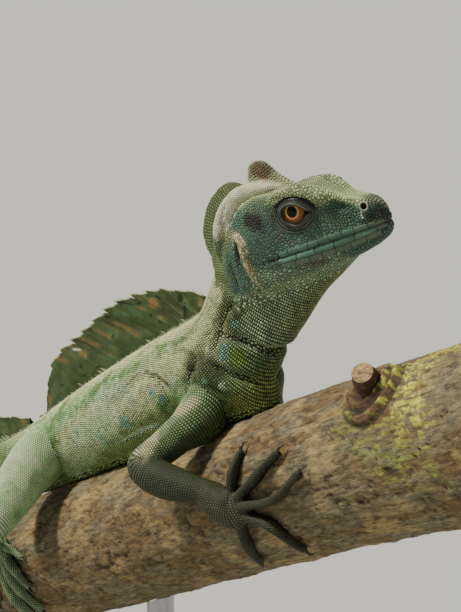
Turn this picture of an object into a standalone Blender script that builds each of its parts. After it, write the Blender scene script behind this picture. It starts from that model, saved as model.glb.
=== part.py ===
"""A male green basilisk lizard, life size, draped along a cut length of branch on a plain display stand.

Run with: blender --background --python part.py

The frame is in metres with +Z up. The origin is the middle of the underside of the stand's base, and the
lizard faces +X. Tables are written in millimetres and turned into metres by mm(). Body tables are measured
from NAPE, the point of the midline where the back's crest begins, and head tables from SKULL_BASE, along the
head's own axes.
"""

import math

import bmesh
import bpy
import numpy as np
from mathutils import Vector


def mm(values):
    """Millimetres as metres."""
    return np.asarray(values, float) * 0.001


GAP = 0.0003  # between pieces that touch
UP = np.array([0.0, 0.0, 1.0])

# The stand
BASE_SIZE = (0.250, 0.150, 0.014)
BASE_CORNER = 0.018
BASE_EDGE = 0.002
ROD_RADIUS = 0.005
ROD_PLACES = {"front": 0.022, "rear": -0.076}  # along X, under the branch's midline

# The branch
BRANCH_RADIUS = 0.0255
BRANCH_PITCH = math.radians(25.7)
BRANCH_HEIGHT = 0.2317  # of its axis, above the nape's place on X
BRANCH_FROM = -0.200  # along its axis, from that point
BRANCH_TO = 0.140
BRANCH_SIDES = 28
BRANCH_SAG = 0.0038  # of its front end below a straight line
KNOT_AT = (0.093, 34.0)  # along the axis, and degrees round from the top towards the right
STUB_WAY = np.array([0.248, -0.709, 0.660])
STUB_REACH = mm([0.0, 6.0, 11.0, 14.5])
STUB_RADII = mm([5.4, 4.4, 3.9, 3.4])
COLLAR_RADII = mm([12.0, 12.5, 6.0])

# The lizard
NAPE = np.array([0.060, 0.0, 0.300])
SKULL_BASE = NAPE + mm([0.7, 0.0, 13.8])
HEAD_TURN = math.radians(21.0)  # to its left
HEAD_PITCH = math.radians(20.0)  # nose up
HEAD_ROLL = math.radians(5.0)  # crown towards its right
MOUTH_HEIGHT = -0.0011  # of the line of the mouth, in the head's own axes
MOUTH_CORNER = 0.0180
EYE_CENTRE = mm([33.0, 7.4, 11.0])
EYE_RADIUS = 0.0050
TAIL_LENGTH = 0.475

# The head's lines: (along the head, half width, height), or (along the head, height) on its midline
HEAD_LINES = {
    "crown": [(-5, 5.5), (-2, 9.5), (4, 15.5), (12, 20.6), (19, 20.6), (30, 16.4), (38, 13.6), (50, 9.6),
              (55, 7.6), (57.5, 5.0), (58.4, 3.0)],
    "brow": [(-5, 3, 4), (0, 5.0, 9), (4, 6.4, 13), (12, 7.4, 17), (24, 10.2, 17.6), (31, 10.6, 17.6),
             (38, 9.6, 15.6), (44, 7.9, 12), (50, 5.6, 9.2), (55, 4.0, 6.8), (57.5, 2.2, 4.4),
             (58.4, 1.0, 2.6)],
    "cheek": [(-5, 4, 0), (0, 7.6, 3), (5, 11, 5), (16, 12.8, 7), (31, 11.2, 9), (44, 8.6, 6.4), (50, 6.8, 5),
              (55, 4.9, 3.8), (57.5, 2.7, 2.5), (58.4, 1.2, 1.6)],
    "lip": [(-5, 5, -1.1), (4, 11.6, -1.1), (16, 13.8, -1.1), (31, 12.0, -1.1), (44, 9.0, -1.1),
            (50, 7.2, -1.1), (55, 5.2, -1.1), (57.5, 2.9, -1.1), (58.4, 1.3, -1.1)],
    "jaw": [(-5, 4, -5), (4, 11, -8.5), (16, 12.8, -8.8), (31, 10.4, -7.4), (44, 7.2, -6.2), (55, 3.6, -4.6),
            (57.5, 1.9, -3.4), (58.4, 0.9, -2.4)],
    "chin": [(-5, -7), (4, -12), (16, -12.8), (31, -11), (44, -8.9), (55, -6.0), (57.5, -4.4), (58.4, -3.0)],
}

# Ribs of neck and trunk: back and belly in the midline plane, half width, and degrees turned to the left
TRUNK_RIBS = [
    # back x, y, z      belly x, y, z      half width, turn
    (-14.0, 0, -5.0, 15.0, 0, -32.6, 15.6, 0),
    (-21.0, 0, -9.0, 1.0, 0, -39.2, 16.6, 0),
    (-33.0, 0, -15.4, -16.0, 0, -47.4, 16.8, 0),
    (-50.0, 0, -25.0, -34.0, 0, -56.0, 17.2, 0),
    (-66.0, 0, -34.5, -51.0, 0, -64.2, 17.0, 0),
    (-80.0, 0, -43.0, -67.0, 0, -71.8, 15.6, 0),
    (-92.0, 0, -50.6, -81.0, 0, -78.6, 13.6, 0),
    (-102.0, 0, -57.2, -93.0, 0, -84.2, 11.8, 0),
    (-112.5, 0, -63.6, -102.5, 0, -88.4, 10.2, 0),
]
CHEST_RIB = (-10.5, 0, -1.0, 19.8, 0, -29.4, 14.2, 2)
NECK_RIBS = [
    (-8.6, 0, 4.0, 19.0, 2.0, -18.6, 12.4, 6),
    (-7.0, 0, 8.5, 21.4, 5.4, -10.8, 11.6, 11),
    (-5.0, 0, 13.5, 25.0, 9.0, -3.6, 11.8, 16),
]
# Ribs inside the head, in its own axes: back x, z, throat x, z, half width
THROAT_RIBS = [(3, 10, 28.6, -17.0, 12.0), (14, 8, 37.5, -12.4, 10.6), (26, 4, 45.0, -8.4, 7.0)]


def unit(v):
    v = np.asarray(v, float)
    return v / np.linalg.norm(v)


def head_axes():
    """The head's own forward, left and up."""
    forward = np.array([math.cos(HEAD_TURN) * math.cos(HEAD_PITCH),
                        math.sin(HEAD_TURN) * math.cos(HEAD_PITCH), math.sin(HEAD_PITCH)])
    level_left = np.array([-math.sin(HEAD_TURN), math.cos(HEAD_TURN), 0.0])
    left = level_left * math.cos(HEAD_ROLL) + np.cross(forward, level_left) * math.sin(HEAD_ROLL)
    return np.array([forward, left, np.cross(forward, left)])


HEAD_AXES = head_axes()


def in_head(points):
    """Points in the head's own axes, in metres, as world points."""
    return SKULL_BASE + np.asarray(points, float) @ HEAD_AXES


def smooth_rows(rows, stations):
    """Rows carried smoothly through fractional row numbers (Catmull-Rom)."""
    rows = np.asarray(rows, float)
    t = np.clip(np.atleast_1d(stations), 0, len(rows) - 1)
    i = np.minimum(t.astype(int), len(rows) - 2)
    f = (t - i)[:, None]
    padded = np.vstack([2 * rows[0] - rows[1], rows, 2 * rows[-1] - rows[-2]])
    a, b, c, d = (padded[i + k] for k in range(4))
    return 0.5 * (2 * b + (c - a) * f + (2 * a - 5 * b + 4 * c - d) * f**2 + (3 * b - a - 3 * c + d) * f**3)


def along(table, x):
    """The table's other columns at each x, smooth and without overshoot. The first column rises."""
    table = np.asarray(table, float)
    knots, values = table[:, 0], table[:, 1:]
    step = np.diff(knots)[:, None]
    slope = np.diff(values, axis=0) / step
    tangent = np.vstack([slope[:1], (slope[:-1] + slope[1:]) / 2, slope[-1:]])
    flat = np.vstack([np.zeros_like(slope[:1], bool), slope[:-1] * slope[1:] <= 0,
                      np.zeros_like(slope[:1], bool)])
    tangent[flat] = 0.0
    x = np.clip(np.atleast_1d(x), knots[0], knots[-1])
    i = np.clip(np.searchsorted(knots, x) - 1, 0, len(knots) - 2)
    f = ((x - knots[i]) / np.diff(knots)[i])[:, None]
    h = step[i]
    return ((2 * f**3 - 3 * f**2 + 1) * values[i] + (f**3 - 2 * f**2 + f) * h * tangent[i]
            + (3 * f**2 - 2 * f**3) * values[i + 1] + (f**3 - f**2) * h * tangent[i + 1])


# Making and joining meshes

def make_object(name, points, faces):
    mesh = bpy.data.meshes.new(name)
    mesh.from_pydata([tuple(p) for p in points], [], [tuple(f) for f in faces])
    bm = bmesh.new()
    bm.from_mesh(mesh)
    bmesh.ops.recalc_face_normals(bm, faces=bm.faces)
    bm.to_mesh(mesh)
    bm.free()
    mesh.shade_smooth()
    obj = bpy.data.objects.new(name, mesh)
    bpy.context.scene.collection.objects.link(obj)
    return obj


def ring_solid(name, rings):
    """A closed solid through rings of equally many points. Each end is closed by a fan to its middle."""
    rings = np.asarray(rings, float)
    count, sides = rings.shape[:2]
    points = [*rings.reshape(-1, 3), rings[0].mean(0), rings[-1].mean(0)]
    faces = []
    for i in range(count - 1):
        for k in range(sides):
            n = (k + 1) % sides
            faces.append((i * sides + k, i * sides + n, (i + 1) * sides + n, (i + 1) * sides + k))
    first, last = count * sides, count * sides + 1
    for k in range(sides):
        n = (k + 1) % sides
        faces.append((first, n, k))
        faces.append((last, (count - 1) * sides + k, (count - 1) * sides + n))
    return make_object(name, points, faces)


def remove(*objects):
    for obj in objects:
        mesh = obj.data
        bpy.data.objects.remove(obj)
        bpy.data.meshes.remove(mesh)


def keep_largest(obj):
    """Drops all but the largest closed surface, which fills sealed hollows and drops loose scraps."""
    bm = bmesh.new()
    bm.from_mesh(obj.data)
    bm.verts.ensure_lookup_table()
    seen, groups = set(), []
    for start in bm.verts:
        if start.index in seen:
            continue
        group, todo = [], [start]
        seen.add(start.index)
        while todo:
            v = todo.pop()
            group.append(v)
            for e in v.link_edges:
                other = e.other_vert(v)
                if other.index not in seen:
                    seen.add(other.index)
                    todo.append(other)
        groups.append(group)
    groups.sort(key=lambda g: np.ptp([v.co for v in g], axis=0).prod(), reverse=True)
    bmesh.ops.delete(bm, geom=[v for g in groups[1:] for v in g], context="VERTS")
    bm.to_mesh(obj.data)
    bm.free()
    return obj


def apply_boolean(obj, others, operation, solver="EXACT"):
    """Joins the other solids to obj, or cuts them from it, and removes them."""
    group = bpy.data.collections.new("others")
    bpy.context.scene.collection.children.link(group)
    for other in others:
        group.objects.link(other)
    modifier = obj.modifiers.new("boolean", "BOOLEAN")
    modifier.operation = operation
    modifier.operand_type = "COLLECTION"
    modifier.collection = group
    modifier.solver = solver
    bpy.context.view_layer.update()
    graph = bpy.context.evaluated_depsgraph_get()
    made = bpy.data.meshes.new_from_object(obj.evaluated_get(graph))
    obj.modifiers.clear()
    old, obj.data = obj.data, made
    bpy.data.meshes.remove(old)
    remove(*others)
    bpy.data.collections.remove(group)
    bm = bmesh.new()
    bm.from_mesh(obj.data)
    bmesh.ops.remove_doubles(bm, verts=bm.verts, dist=2e-6)
    bmesh.ops.triangulate(bm, faces=bm.faces)
    bm.to_mesh(obj.data)
    bm.free()
    obj.data.shade_smooth()
    return obj


def fuse(name, pieces):
    """One closed body from overlapping solids."""
    first, *rest = pieces
    first.name = name
    apply_boolean(first, rest, "UNION")
    return keep_largest(first)


def grown(obj, by=GAP):
    """A copy of a solid whose surface stands off by a distance."""
    copy = obj.copy()
    copy.data = obj.data.copy()
    bpy.context.scene.collection.objects.link(copy)
    normals = [v.normal.copy() for v in copy.data.vertices]
    for v, normal in zip(copy.data.vertices, normals):
        v.co += normal * by
    return copy


def fit_against(obj, *neighbours):
    """Cuts obj back so that it meets each neighbour face to face, with the gap between them."""
    apply_boolean(obj, [grown(n) for n in neighbours], "DIFFERENCE")
    return keep_largest(obj)


def ellipsoid(name, centre, axes, radii, rings=8, sides=12):
    """axes are three unit vectors and radii the half lengths along them. The poles are on the third."""
    loops = []
    for t in np.linspace(0.02, math.pi - 0.02, rings):
        turn = np.linspace(0, 2 * math.pi, sides, endpoint=False)
        local = np.stack([np.cos(turn) * math.sin(t) * radii[0], np.sin(turn) * math.sin(t) * radii[1],
                          np.full(sides, math.cos(t) * radii[2])], axis=1)
        loops.append(centre + local @ np.asarray(axes))
    return ring_solid(name, loops)


# The branch's surface, which hands and feet grip

BRANCH_AXIS = np.array([math.cos(BRANCH_PITCH), 0.0, math.sin(BRANCH_PITCH)])
BRANCH_TOP = np.array([-math.sin(BRANCH_PITCH), 0.0, math.cos(BRANCH_PITCH)])
BRANCH_ORIGIN = np.array([NAPE[0], 0.0, BRANCH_HEIGHT])


def branch_middle(distance):
    """The branch's centre line, straight under the lizard and bent down a little towards its front end."""
    past = max(0.0, distance - 0.06) / (BRANCH_TO - 0.06)
    return BRANCH_ORIGIN + BRANCH_AXIS * distance - BRANCH_TOP * BRANCH_SAG * past**1.5


def on_branch(distance, turn, lift):
    """A point above the branch's surface. turn is in degrees from the top towards the lizard's right."""
    a = math.radians(turn)
    out = BRANCH_TOP * math.cos(a) + np.array([0.0, -1.0, 0.0]) * math.sin(a)
    return branch_middle(distance) + out * (BRANCH_RADIUS + lift)


# Trunk, neck and tail are one line of ribs

def rib_ring(back, belly, half_width, turn, sides):
    """One closed section. It narrows towards the back, and its widest place is a little below the middle."""
    angle = np.linspace(0, 2 * math.pi, sides, endpoint=False)
    middle, up = (back + belly) / 2, (back - belly) / 2
    across = np.array([-math.sin(turn), math.cos(turn), 0.0])
    upper = np.clip(np.sin(angle), 0, 1)
    width = half_width * np.cos(angle) * (1 - 0.16 * upper**1.5)
    return middle + np.outer(width, across) + np.outer(np.sin(angle), up)


def body_rings(stations, sides):
    rows = smooth_rows(BODY_ROWS, stations)
    return [rib_ring(r[0:3], r[3:6], r[6], r[7], sides) for r in rows]


def world_rib(row):
    """A rib's table row as world points, half width and turn in radians."""
    row = np.asarray(row, float)
    return [*(NAPE + mm(row[0:3])), *(NAPE + mm(row[3:6])), row[6] * 0.001, math.radians(row[7])]


def head_rib(row):
    back = in_head(mm([row[0], 0, row[1]]))
    throat = in_head(mm([row[2], 0, row[3]]))
    return [*back, *throat, row[4] * 0.001, HEAD_TURN]


# Degrees below the level, and degrees to the left of straight back, at shares of the tail's length
TAIL_DROOP = [(0.0, 24), (0.1, 21), (0.25, 26), (0.45, 37), (0.65, 38), (0.82, 20), (1.0, -8)]
TAIL_SWING = [(0.0, 0), (0.15, -3), (0.4, -20), (0.65, -24), (0.85, 4), (1.0, 30)]
# Half depth and half width at shares of its length
TAIL_GIRTH = [(0.0, 12.8, 10.0), (0.05, 10.1, 8.8), (0.14, 7.8, 7.4), (0.3, 5.6, 5.4), (0.5, 3.9, 3.8),
              (0.75, 2.3, 2.3), (1.0, 0.8, 0.8)]
TAIL_STEPS = 96


def tail_ribs():
    """Ribs along the tail, whose path follows from its droop and swing."""
    shares = np.linspace(0, 1, TAIL_STEPS + 1)
    droop = np.radians(along(TAIL_DROOP, shares)[:, 0])
    swing = np.radians(along(TAIL_SWING, shares)[:, 0])
    girth = mm(along(TAIL_GIRTH, shares))
    level = -np.cos(droop)
    heading = np.stack([level * np.cos(swing), level * np.sin(swing), -np.sin(droop)], axis=1)
    last = TRUNK_RIBS[-1]
    root = NAPE + mm([(last[k] + last[k + 3]) / 2 for k in range(3)])
    step = TAIL_LENGTH / TAIL_STEPS
    path = root + np.vstack([np.zeros(3), np.cumsum((heading[:-1] + heading[1:]) / 2 * step, axis=0)])
    ribs = []
    for centre, way, (depth, width), turn in zip(path, heading, girth, swing):
        up = unit(UP - way * (UP @ way))
        ribs.append([*(centre + up * depth), *(centre - up * depth), width, turn])
    return ribs


TRUNK_ROWS = [*map(head_rib, THROAT_RIBS[::-1]), *map(world_rib, NECK_RIBS[::-1]), world_rib(CHEST_RIB),
              *map(world_rib, TRUNK_RIBS)]
BODY_ROWS = TRUNK_ROWS + tail_ribs()[1:]
CHEST_STATION = len(THROAT_RIBS) + len(NECK_RIBS) + 0.5
TRUNK_END = len(TRUNK_ROWS) - 1
TAIL_CUTS = (0.0, 0.2, 0.43, 0.7, 1.0)  # shares of the tail's length
TORSO_SIDES = 22
TAIL_SIDES = 14


def stations_between(start, end, count, gap_start=True, gap_end=True):
    """Row numbers from start to end, held back by half a gap where the node ends at a cut."""
    def held_back(at, way):
        here, there = (np.asarray(smooth_rows(BODY_ROWS, at + way * k * 0.01)[0][:6]) for k in (0, 1))
        speed = np.linalg.norm((there - here).reshape(2, 3).mean(0)) / 0.01
        return at + way * 0.5 * GAP / speed

    first = held_back(start, 1) if gap_start else start
    final = held_back(end, -1) if gap_end else end
    return np.linspace(first, final, count)


def build_torso():
    stations = stations_between(CHEST_STATION, TRUNK_END, 15)
    return ring_solid("torso", body_rings(stations, TORSO_SIDES))


def build_neck():
    stations = stations_between(0.0, CHEST_STATION, 12, gap_start=False)
    return ring_solid("neck", body_rings(stations, TORSO_SIDES))


def build_tail():
    nodes = []
    for k, cuts in enumerate(zip(TAIL_CUTS, TAIL_CUTS[1:])):
        start, end = (TRUNK_END + share * TAIL_STEPS for share in cuts)
        stations = stations_between(start, end, 11, gap_end=cuts[1] < 1)
        nodes.append(ring_solid(f"tail_{k + 1}", body_rings(stations, TAIL_SIDES)))
    return nodes


# The head

HEAD_SIDES = 32


def head_ring(x):
    """The head's section at x millimetres along it, through its crown, brow, cheek, lip, jaw and chin."""
    crown, brow, cheek, lip, jaw, chin = (along(HEAD_LINES[k], x)[0] for k in
                                          ("crown", "brow", "cheek", "lip", "jaw", "chin"))
    between = (brow[0] * 0.5, crown[0] * 0.62 + brow[1] * 0.38)
    below = (jaw[0] * 0.55, chin[0] * 0.9 + jaw[1] * 0.1)
    half = [between, tuple(brow), tuple(cheek), tuple(lip), tuple(jaw), below]
    loop = [(0.0, crown[0]), *half, (0.0, chin[0]), *[(-y, z) for y, z in half[::-1]], (0.0, crown[0])]
    closed = np.array([loop[-2], *loop, loop[1]], float)
    t = np.linspace(1, len(loop), HEAD_SIDES, endpoint=False)
    section = smooth_rows(closed, t)
    return in_head(mm(np.column_stack([np.full(HEAD_SIDES, float(x)), section])))


def head_tube(name, path, radii, sides=8):
    """A rounded ridge along points in the head's own axes, in millimetres."""
    path = smooth_rows(path, np.linspace(0, len(path) - 1, 2 * len(path)))
    radii = np.interp(np.linspace(0, 1, len(path)), np.linspace(0, 1, len(radii)), radii)
    return tube(name, in_head(mm(path)), mm(radii), sides)


def tube(name, path, radii, sides, flat=1.0, side_way=None):
    """A solid round a path. radii is a radius for each point, and flat thins it across side_way."""
    ways = np.gradient(path, axis=0)
    ways /= np.linalg.norm(ways, axis=1)[:, None]
    upright = [1, 0, 0] if abs(ways[0][2]) >= 0.9 else UP
    across = unit(np.cross(ways[0], upright)) if side_way is None else side_way
    turn = np.linspace(0, 2 * math.pi, sides, endpoint=False)
    rings = []
    for point, way, radius in zip(path, ways, radii):
        across = unit(across - way * (across @ way))
        other = np.cross(way, across)
        rings.append(point + radius * (np.outer(np.cos(turn), across) + np.outer(np.sin(turn), other) * flat))
    return ring_solid(name, rings)


CASQUE_PATH = [(31, 2.6, 15.8), (23, 3.0, 20.0), (14, 4.2, 21.2), (8, 6.4, 17.8), (4, 8.0, 12.0),
               (1.5, 8.6, 5.0)]
CASQUE_RADII = [1.2, 2.4, 2.6, 2.4, 2.2, 1.4]
JAW_FOLD_PATH = [(10.5, 11.0, 9.0), (12.0, 12.6, 3.0), (13.6, 13.4, -4.0), (15.5, 13.0, -9.0)]
LID_OPENING = mm([4.3, 3.3])  # half length and half height
LID_TILT = math.radians(-14)  # its front corner is the lower
LID_THICKNESS = 0.0010
SOCKET_CLEARANCE = GAP


def mirrored(points, side):
    """Points of the head's left side, or their mirror on its right."""
    return np.asarray(points, float) * np.array([1.0, side, 1.0])


def build_head():
    """The skull with its lids, and the jaw, parted along the line of the mouth, and the eyes."""
    stations = [-5, -4, -2, 1, 4, 8, 12, 16, 20, 24, 27, 30, 33, 36, 39, 43, 47, 51, 54, 56, 57.4, 58.2]
    skull = ring_solid("head", [head_ring(x) for x in stations])
    forward, left, up = HEAD_AXES
    joined, cut_away, eyes = [], [], []
    for side, word in ((1, "left"), (-1, "right")):
        joined.append(head_tube("casque", mirrored(CASQUE_PATH, side), CASQUE_RADII))
        joined.append(head_tube("jaw_fold", mirrored(JAW_FOLD_PATH, side), [0.8, 1.5, 1.5, 0.6], 6))
        centre = in_head(mirrored(EYE_CENTRE, side))
        axes = (forward, up, left * side)
        lid_radius = EYE_RADIUS + SOCKET_CLEARANCE + LID_THICKNESS
        joined.append(ellipsoid("lids", centre, axes, [lid_radius] * 3, 9, 16))
        socket = EYE_RADIUS + SOCKET_CLEARANCE
        cut_away.append(ellipsoid("socket", centre, axes, [socket] * 3, 9, 16))
        cut_away.append(lid_opening(centre, side))
        cut_away.append(nostril(side))
        joined.append(nostril_rim(side))
        cut_away.append(ellipsoid("ear", in_head(mirrored(mm([8.6, 13.1, 0.0]), side)),
                                  HEAD_AXES, mm([2.0, 1.7, 5.2]), 8, 10))
        eyes.append(ellipsoid(f"eye_{word}", centre, axes, [EYE_RADIUS] * 3, 9, 16))
    apply_boolean(skull, joined, "UNION")
    keep_largest(skull)
    whole = grown(skull, 0.0)
    for cutter in cut_away:
        apply_boolean(skull, [cutter], "DIFFERENCE")
    keep_largest(skull)
    jaw = grown(skull, 0.0)
    jaw.name = "jaw"
    apply_boolean(skull, [jaw_block(-GAP / 2)], "DIFFERENCE")
    apply_boolean(jaw, [jaw_block(GAP / 2)], "INTERSECT")
    return keep_largest(skull), keep_largest(jaw), eyes, whole


def lid_opening(centre, side):
    """A cutter for the slit between the lids: pointed at its corners, and open outwards."""
    forward, left, up = HEAD_AXES
    outward = left * side
    long_way = forward * math.cos(LID_TILT) + up * math.sin(LID_TILT)
    short_way = np.cross(outward, long_way) * side
    turn = np.linspace(0, 2 * math.pi, 14, endpoint=False)
    height = np.sign(np.sin(turn)) * np.abs(np.sin(turn)) ** 1.25
    outline = np.outer(np.cos(turn) * LID_OPENING[0], long_way) + np.outer(height * LID_OPENING[1], short_way)
    return ring_solid("slit", [centre + outline + outward * d for d in (EYE_RADIUS * 0.3, EYE_RADIUS * 2)])


NOSTRIL = mm([53.2, 4.9, 5.7])


def nostril_axes(side):
    forward, left, up = HEAD_AXES
    outward = unit(left * side + forward * 0.25 + up * 0.25)
    across = unit(np.cross(up, outward))
    return across, np.cross(outward, across), outward


def nostril(side):
    return ellipsoid("nostril", in_head(mirrored(NOSTRIL, side)) + nostril_axes(side)[2] * 0.0006,
                     nostril_axes(side), mm([0.8, 0.95, 1.9]), 6, 8)


def nostril_rim(side):
    return ellipsoid("rim", in_head(mirrored(NOSTRIL, side)), nostril_axes(side), mm([1.5, 1.6, 0.9]), 6, 10)


def jaw_block(lower_by):
    """Everything below the line of the mouth and ahead of the jaw's hinge, set down by a distance."""
    line = [(0.075, MOUTH_HEIGHT), (MOUTH_CORNER, MOUTH_HEIGHT), (0.009, -0.0150), (0.009, -0.040),
            (0.075, -0.040)]
    shift = np.array([0.7 * lower_by, -lower_by])
    rings = [in_head([(x + s, y, z + t) for (x, z) in line for s, t in (shift,)]) for y in (-0.03, 0.03)]
    return ring_solid("jaw_block", rings)


# Crests

BACK_CREST_RAYS = 14
TAIL_CREST_RAYS = 20
# The back crest's edge in the midline plane, from the nape: along X and up
BACK_CREST_EDGE = [(-12.4, 2.0), (-20.8, 2.4), (-28.4, 1.6), (-35.7, 1.1), (-45.1, -1.0), (-54.4, -4.0),
                   (-63.8, -8.4), (-72.0, -13.4), (-82.2, -21.4), (-90.6, -26.8), (-98.4, -32.4),
                   (-103.2, -39.0), (-105.6, -46.8),
                   (-106.4, -53.0), (-106.0, -57.0)]
# Where a ray that ends at a share of the edge has its root, as a share of the root line
BACK_CREST_ROOTS = [(0.0, 0.0), (0.2, 0.08), (0.4, 0.2), (0.5, 0.3), (0.65, 0.43), (0.82, 0.62), (0.92, 0.84),
                    (1.0, 1.0)]
# The tail crest's ray length, and degrees that it leans back, at shares of the crest's length
TAIL_CREST_HEIGHT = [(0.0, 4.0, 30), (0.06, 11.0, 30), (0.16, 17.0, 34), (0.3, 19.0, 38), (0.5, 17.0, 42),
                     (0.75, 10.0, 46), (1.0, 1.5, 50)]
TAIL_CREST_SHARE = 0.45  # of the tail's length
CREST_ROOT = 0.0017  # half thickness at the skin
CREST_EDGE = 0.0005
CREST_NOTCH = 0.12  # share by which the edge falls back between rays
RAY_RIDGE = 0.00035
CREST_SINK = 0.0012  # into the skin before the root is cut to it


def sail(name, roots, tips, across, sinks):
    """A thin skin on rays. Every second root and tip is a ray's, and the edge falls back between them."""
    columns = len(roots)
    rows = (0.0, 0.3, 0.65, 1.0)
    front, rear = [], []
    for c, (root, tip, side, sink) in enumerate(zip(roots, tips, across, sinks)):
        on_ray = c % 2 == 1
        end = tip if on_ray else tip + (root - tip) * CREST_NOTCH
        start = root - sink * CREST_SINK
        for row in rows:
            half = CREST_ROOT * (1 - row) ** 1.6 + CREST_EDGE
            if on_ray:
                half += RAY_RIDGE * (1 - 0.5 * row)
            middle = start + (end - start) * row
            front.append(middle + side * half)
            rear.append(middle - side * half)
    n, total = len(rows), columns * len(rows)
    faces = []
    for c in range(columns - 1):
        for r in range(n - 1):
            a, b, d, e = c * n + r, (c + 1) * n + r, (c + 1) * n + r + 1, c * n + r + 1
            for tri in ((a, b, d), (a, d, e)):
                faces.append(tri)
                faces.append(tuple(total + v for v in tri[::-1]))
        for r in (0, n - 1):
            a, b = c * n + r, (c + 1) * n + r
            faces += [(a, b, total + b), (a, total + b, total + a)]
    for c in (0, columns - 1):
        for r in range(n - 1):
            a, b = c * n + r, c * n + r + 1
            faces += [(a, b, total + b), (a, total + b, total + a)]
    return make_object(name, front + rear, faces)


def crest_line(start, end):
    """foot, up_way and back_way of a crest that follows the backs of the ribs from row start to row end."""
    def row_at(share):
        return smooth_rows(BODY_ROWS, start + (end - start) * share)[0]

    def foot(share):
        return row_at(share)[0:3]

    def back_way(share):
        return unit(row_at(min(share + 0.02, 1.0))[0:3] - row_at(max(share - 0.02, 0.0))[0:3])

    def up_way(share):
        up = row_at(share)[0:3] - row_at(share)[3:6]
        way = back_way(share)
        return unit(up - way * (up @ way))

    return foot, up_way, back_way


def along_line(points, shares):
    """Points at shares of a smooth line's length."""
    fine = smooth_rows(points, np.linspace(0, len(points) - 1, 20 * len(points)))
    reach = np.concatenate([[0.0], np.cumsum(np.linalg.norm(np.diff(fine, axis=0), axis=1))])
    at = np.asarray(shares) * reach[-1]
    return np.column_stack([np.interp(at, reach, column) for column in fine.T])


def build_back_crest(torso, neck):
    start = len(THROAT_RIBS) + len(NECK_RIBS) + 0.8
    foot, up_way, _ = crest_line(start, TRUNK_END - 0.4)
    shares = np.linspace(0, 1, 2 * BACK_CREST_RAYS + 1)
    edge = along_line([(x, 0.0, z) for x, z in BACK_CREST_EDGE], shares)
    root_shares = along(BACK_CREST_ROOTS, shares)[:, 0]
    roots = np.array([foot(share) for share in root_shares])
    sinks = np.array([up_way(share) for share in root_shares])
    across = np.tile([0.0, 1.0, 0.0], (len(shares), 1))
    return fit_against(sail("crest_back", roots, NAPE + mm(edge), across, sinks), torso, neck)


def build_tail_crest(tails):
    foot, up_way, back_way = crest_line(TRUNK_END + 0.5, TRUNK_END + TAIL_CREST_SHARE * TAIL_STEPS)
    roots, tips, across, sinks = [], [], [], []
    for share in np.linspace(0, 1, 2 * TAIL_CREST_RAYS + 1):
        length, lean = along(TAIL_CREST_HEIGHT, share)[0]
        lean = math.radians(lean)
        way = up_way(share) * math.cos(lean) + back_way(share) * math.sin(lean)
        roots.append(foot(share))
        tips.append(foot(share) + way * length * 0.001)
        across.append(unit(np.cross(way, back_way(share))))
        sinks.append(up_way(share))
    return fit_against(sail("crest_tail", roots, tips, across, sinks), *tails[:3])


def lobe(name, foot, edge, root_half, edge_half, count=12, rows=5):
    """A rounded fin on the head's midline, in its own axes, from its foot, sunk in, to its edge."""
    t = np.linspace(0, 1, count)
    foot = smooth_rows(foot, t * (len(foot) - 1))
    edge = smooth_rows(edge, t * (len(edge) - 1))
    rings = []
    for a, b in zip(foot, edge):
        outline = []
        for side in (1, -1):
            levels = np.linspace(0, 1, rows) if side == 1 else np.linspace(1, 0, rows)
            for level in levels:
                half = root_half * (1 - level) + edge_half * level
                half *= math.sqrt(max(1 - (level * 0.92) ** 4, 0.0))
                x, z = a * (1 - level) + b * level
                outline.append((x, side * half, z))
        rings.append(in_head(mm(outline)))
    return ring_solid(name, rings)


def build_head_crests(head):
    front = lobe("crest_head_front", [(32.5, 15.5), (27, 17.0), (20, 19.0), (17, 20.0)],
                 [(33.0, 17.4), (27.2, 23.2), (23.0, 28.9), (18.6, 29.4), (16.8, 25.6)], 2.4, 2.3)
    rear = lobe("crest_head_rear", [(16.4, 18.5), (11, 18.0), (5, 14.0), (0, 8.0), (-2, 2.0)],
                [(15.8, 22.6), (9.0, 26.0), (1.0, 22.6), (-5.2, 14.8), (-6.4, 7.6), (-4.6, 0.4)], 3.4, 1.1)
    return fit_against(front, head), fit_against(rear, head)


# Limbs. Each is one path in millimetres from the nape, with a radius at each point, parted at its joints

ARM_ROUTE = [(-6, 8, -29, 8.0), (2, 14, -31, 7.4), (3.5, 21, -35.5, 6.2), (0.5, 28.5, -42, 5.6),
             (-2.5, 35, -47.4, 5.4), (2, 35.4, -49.8, 5.7), (8, 33.8, -51, 5.8), (14.5, 32, -51.6, 4.9),
             (20.5, 30.2, -52.2, 4.1)]
LEG_ROUTE = [(-95, 4, -69, 11.0), (-91, 13, -69.5, 10.4), (-86.5, 24, -74, 9.4), (-81, 36, -80.5, 8.0),
             (-77, 47, -87, 6.6), (-82, 48.5, -90.5, 6.5), (-91, 42.5, -94.5, 6.6), (-103, 34, -100, 5.2),
             (-114.5, 26.5, -105, 4.1)]
ELBOW, WRIST = 4.1, 8.0  # places along the route's points
LIMB_SIDES = 12

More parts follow.
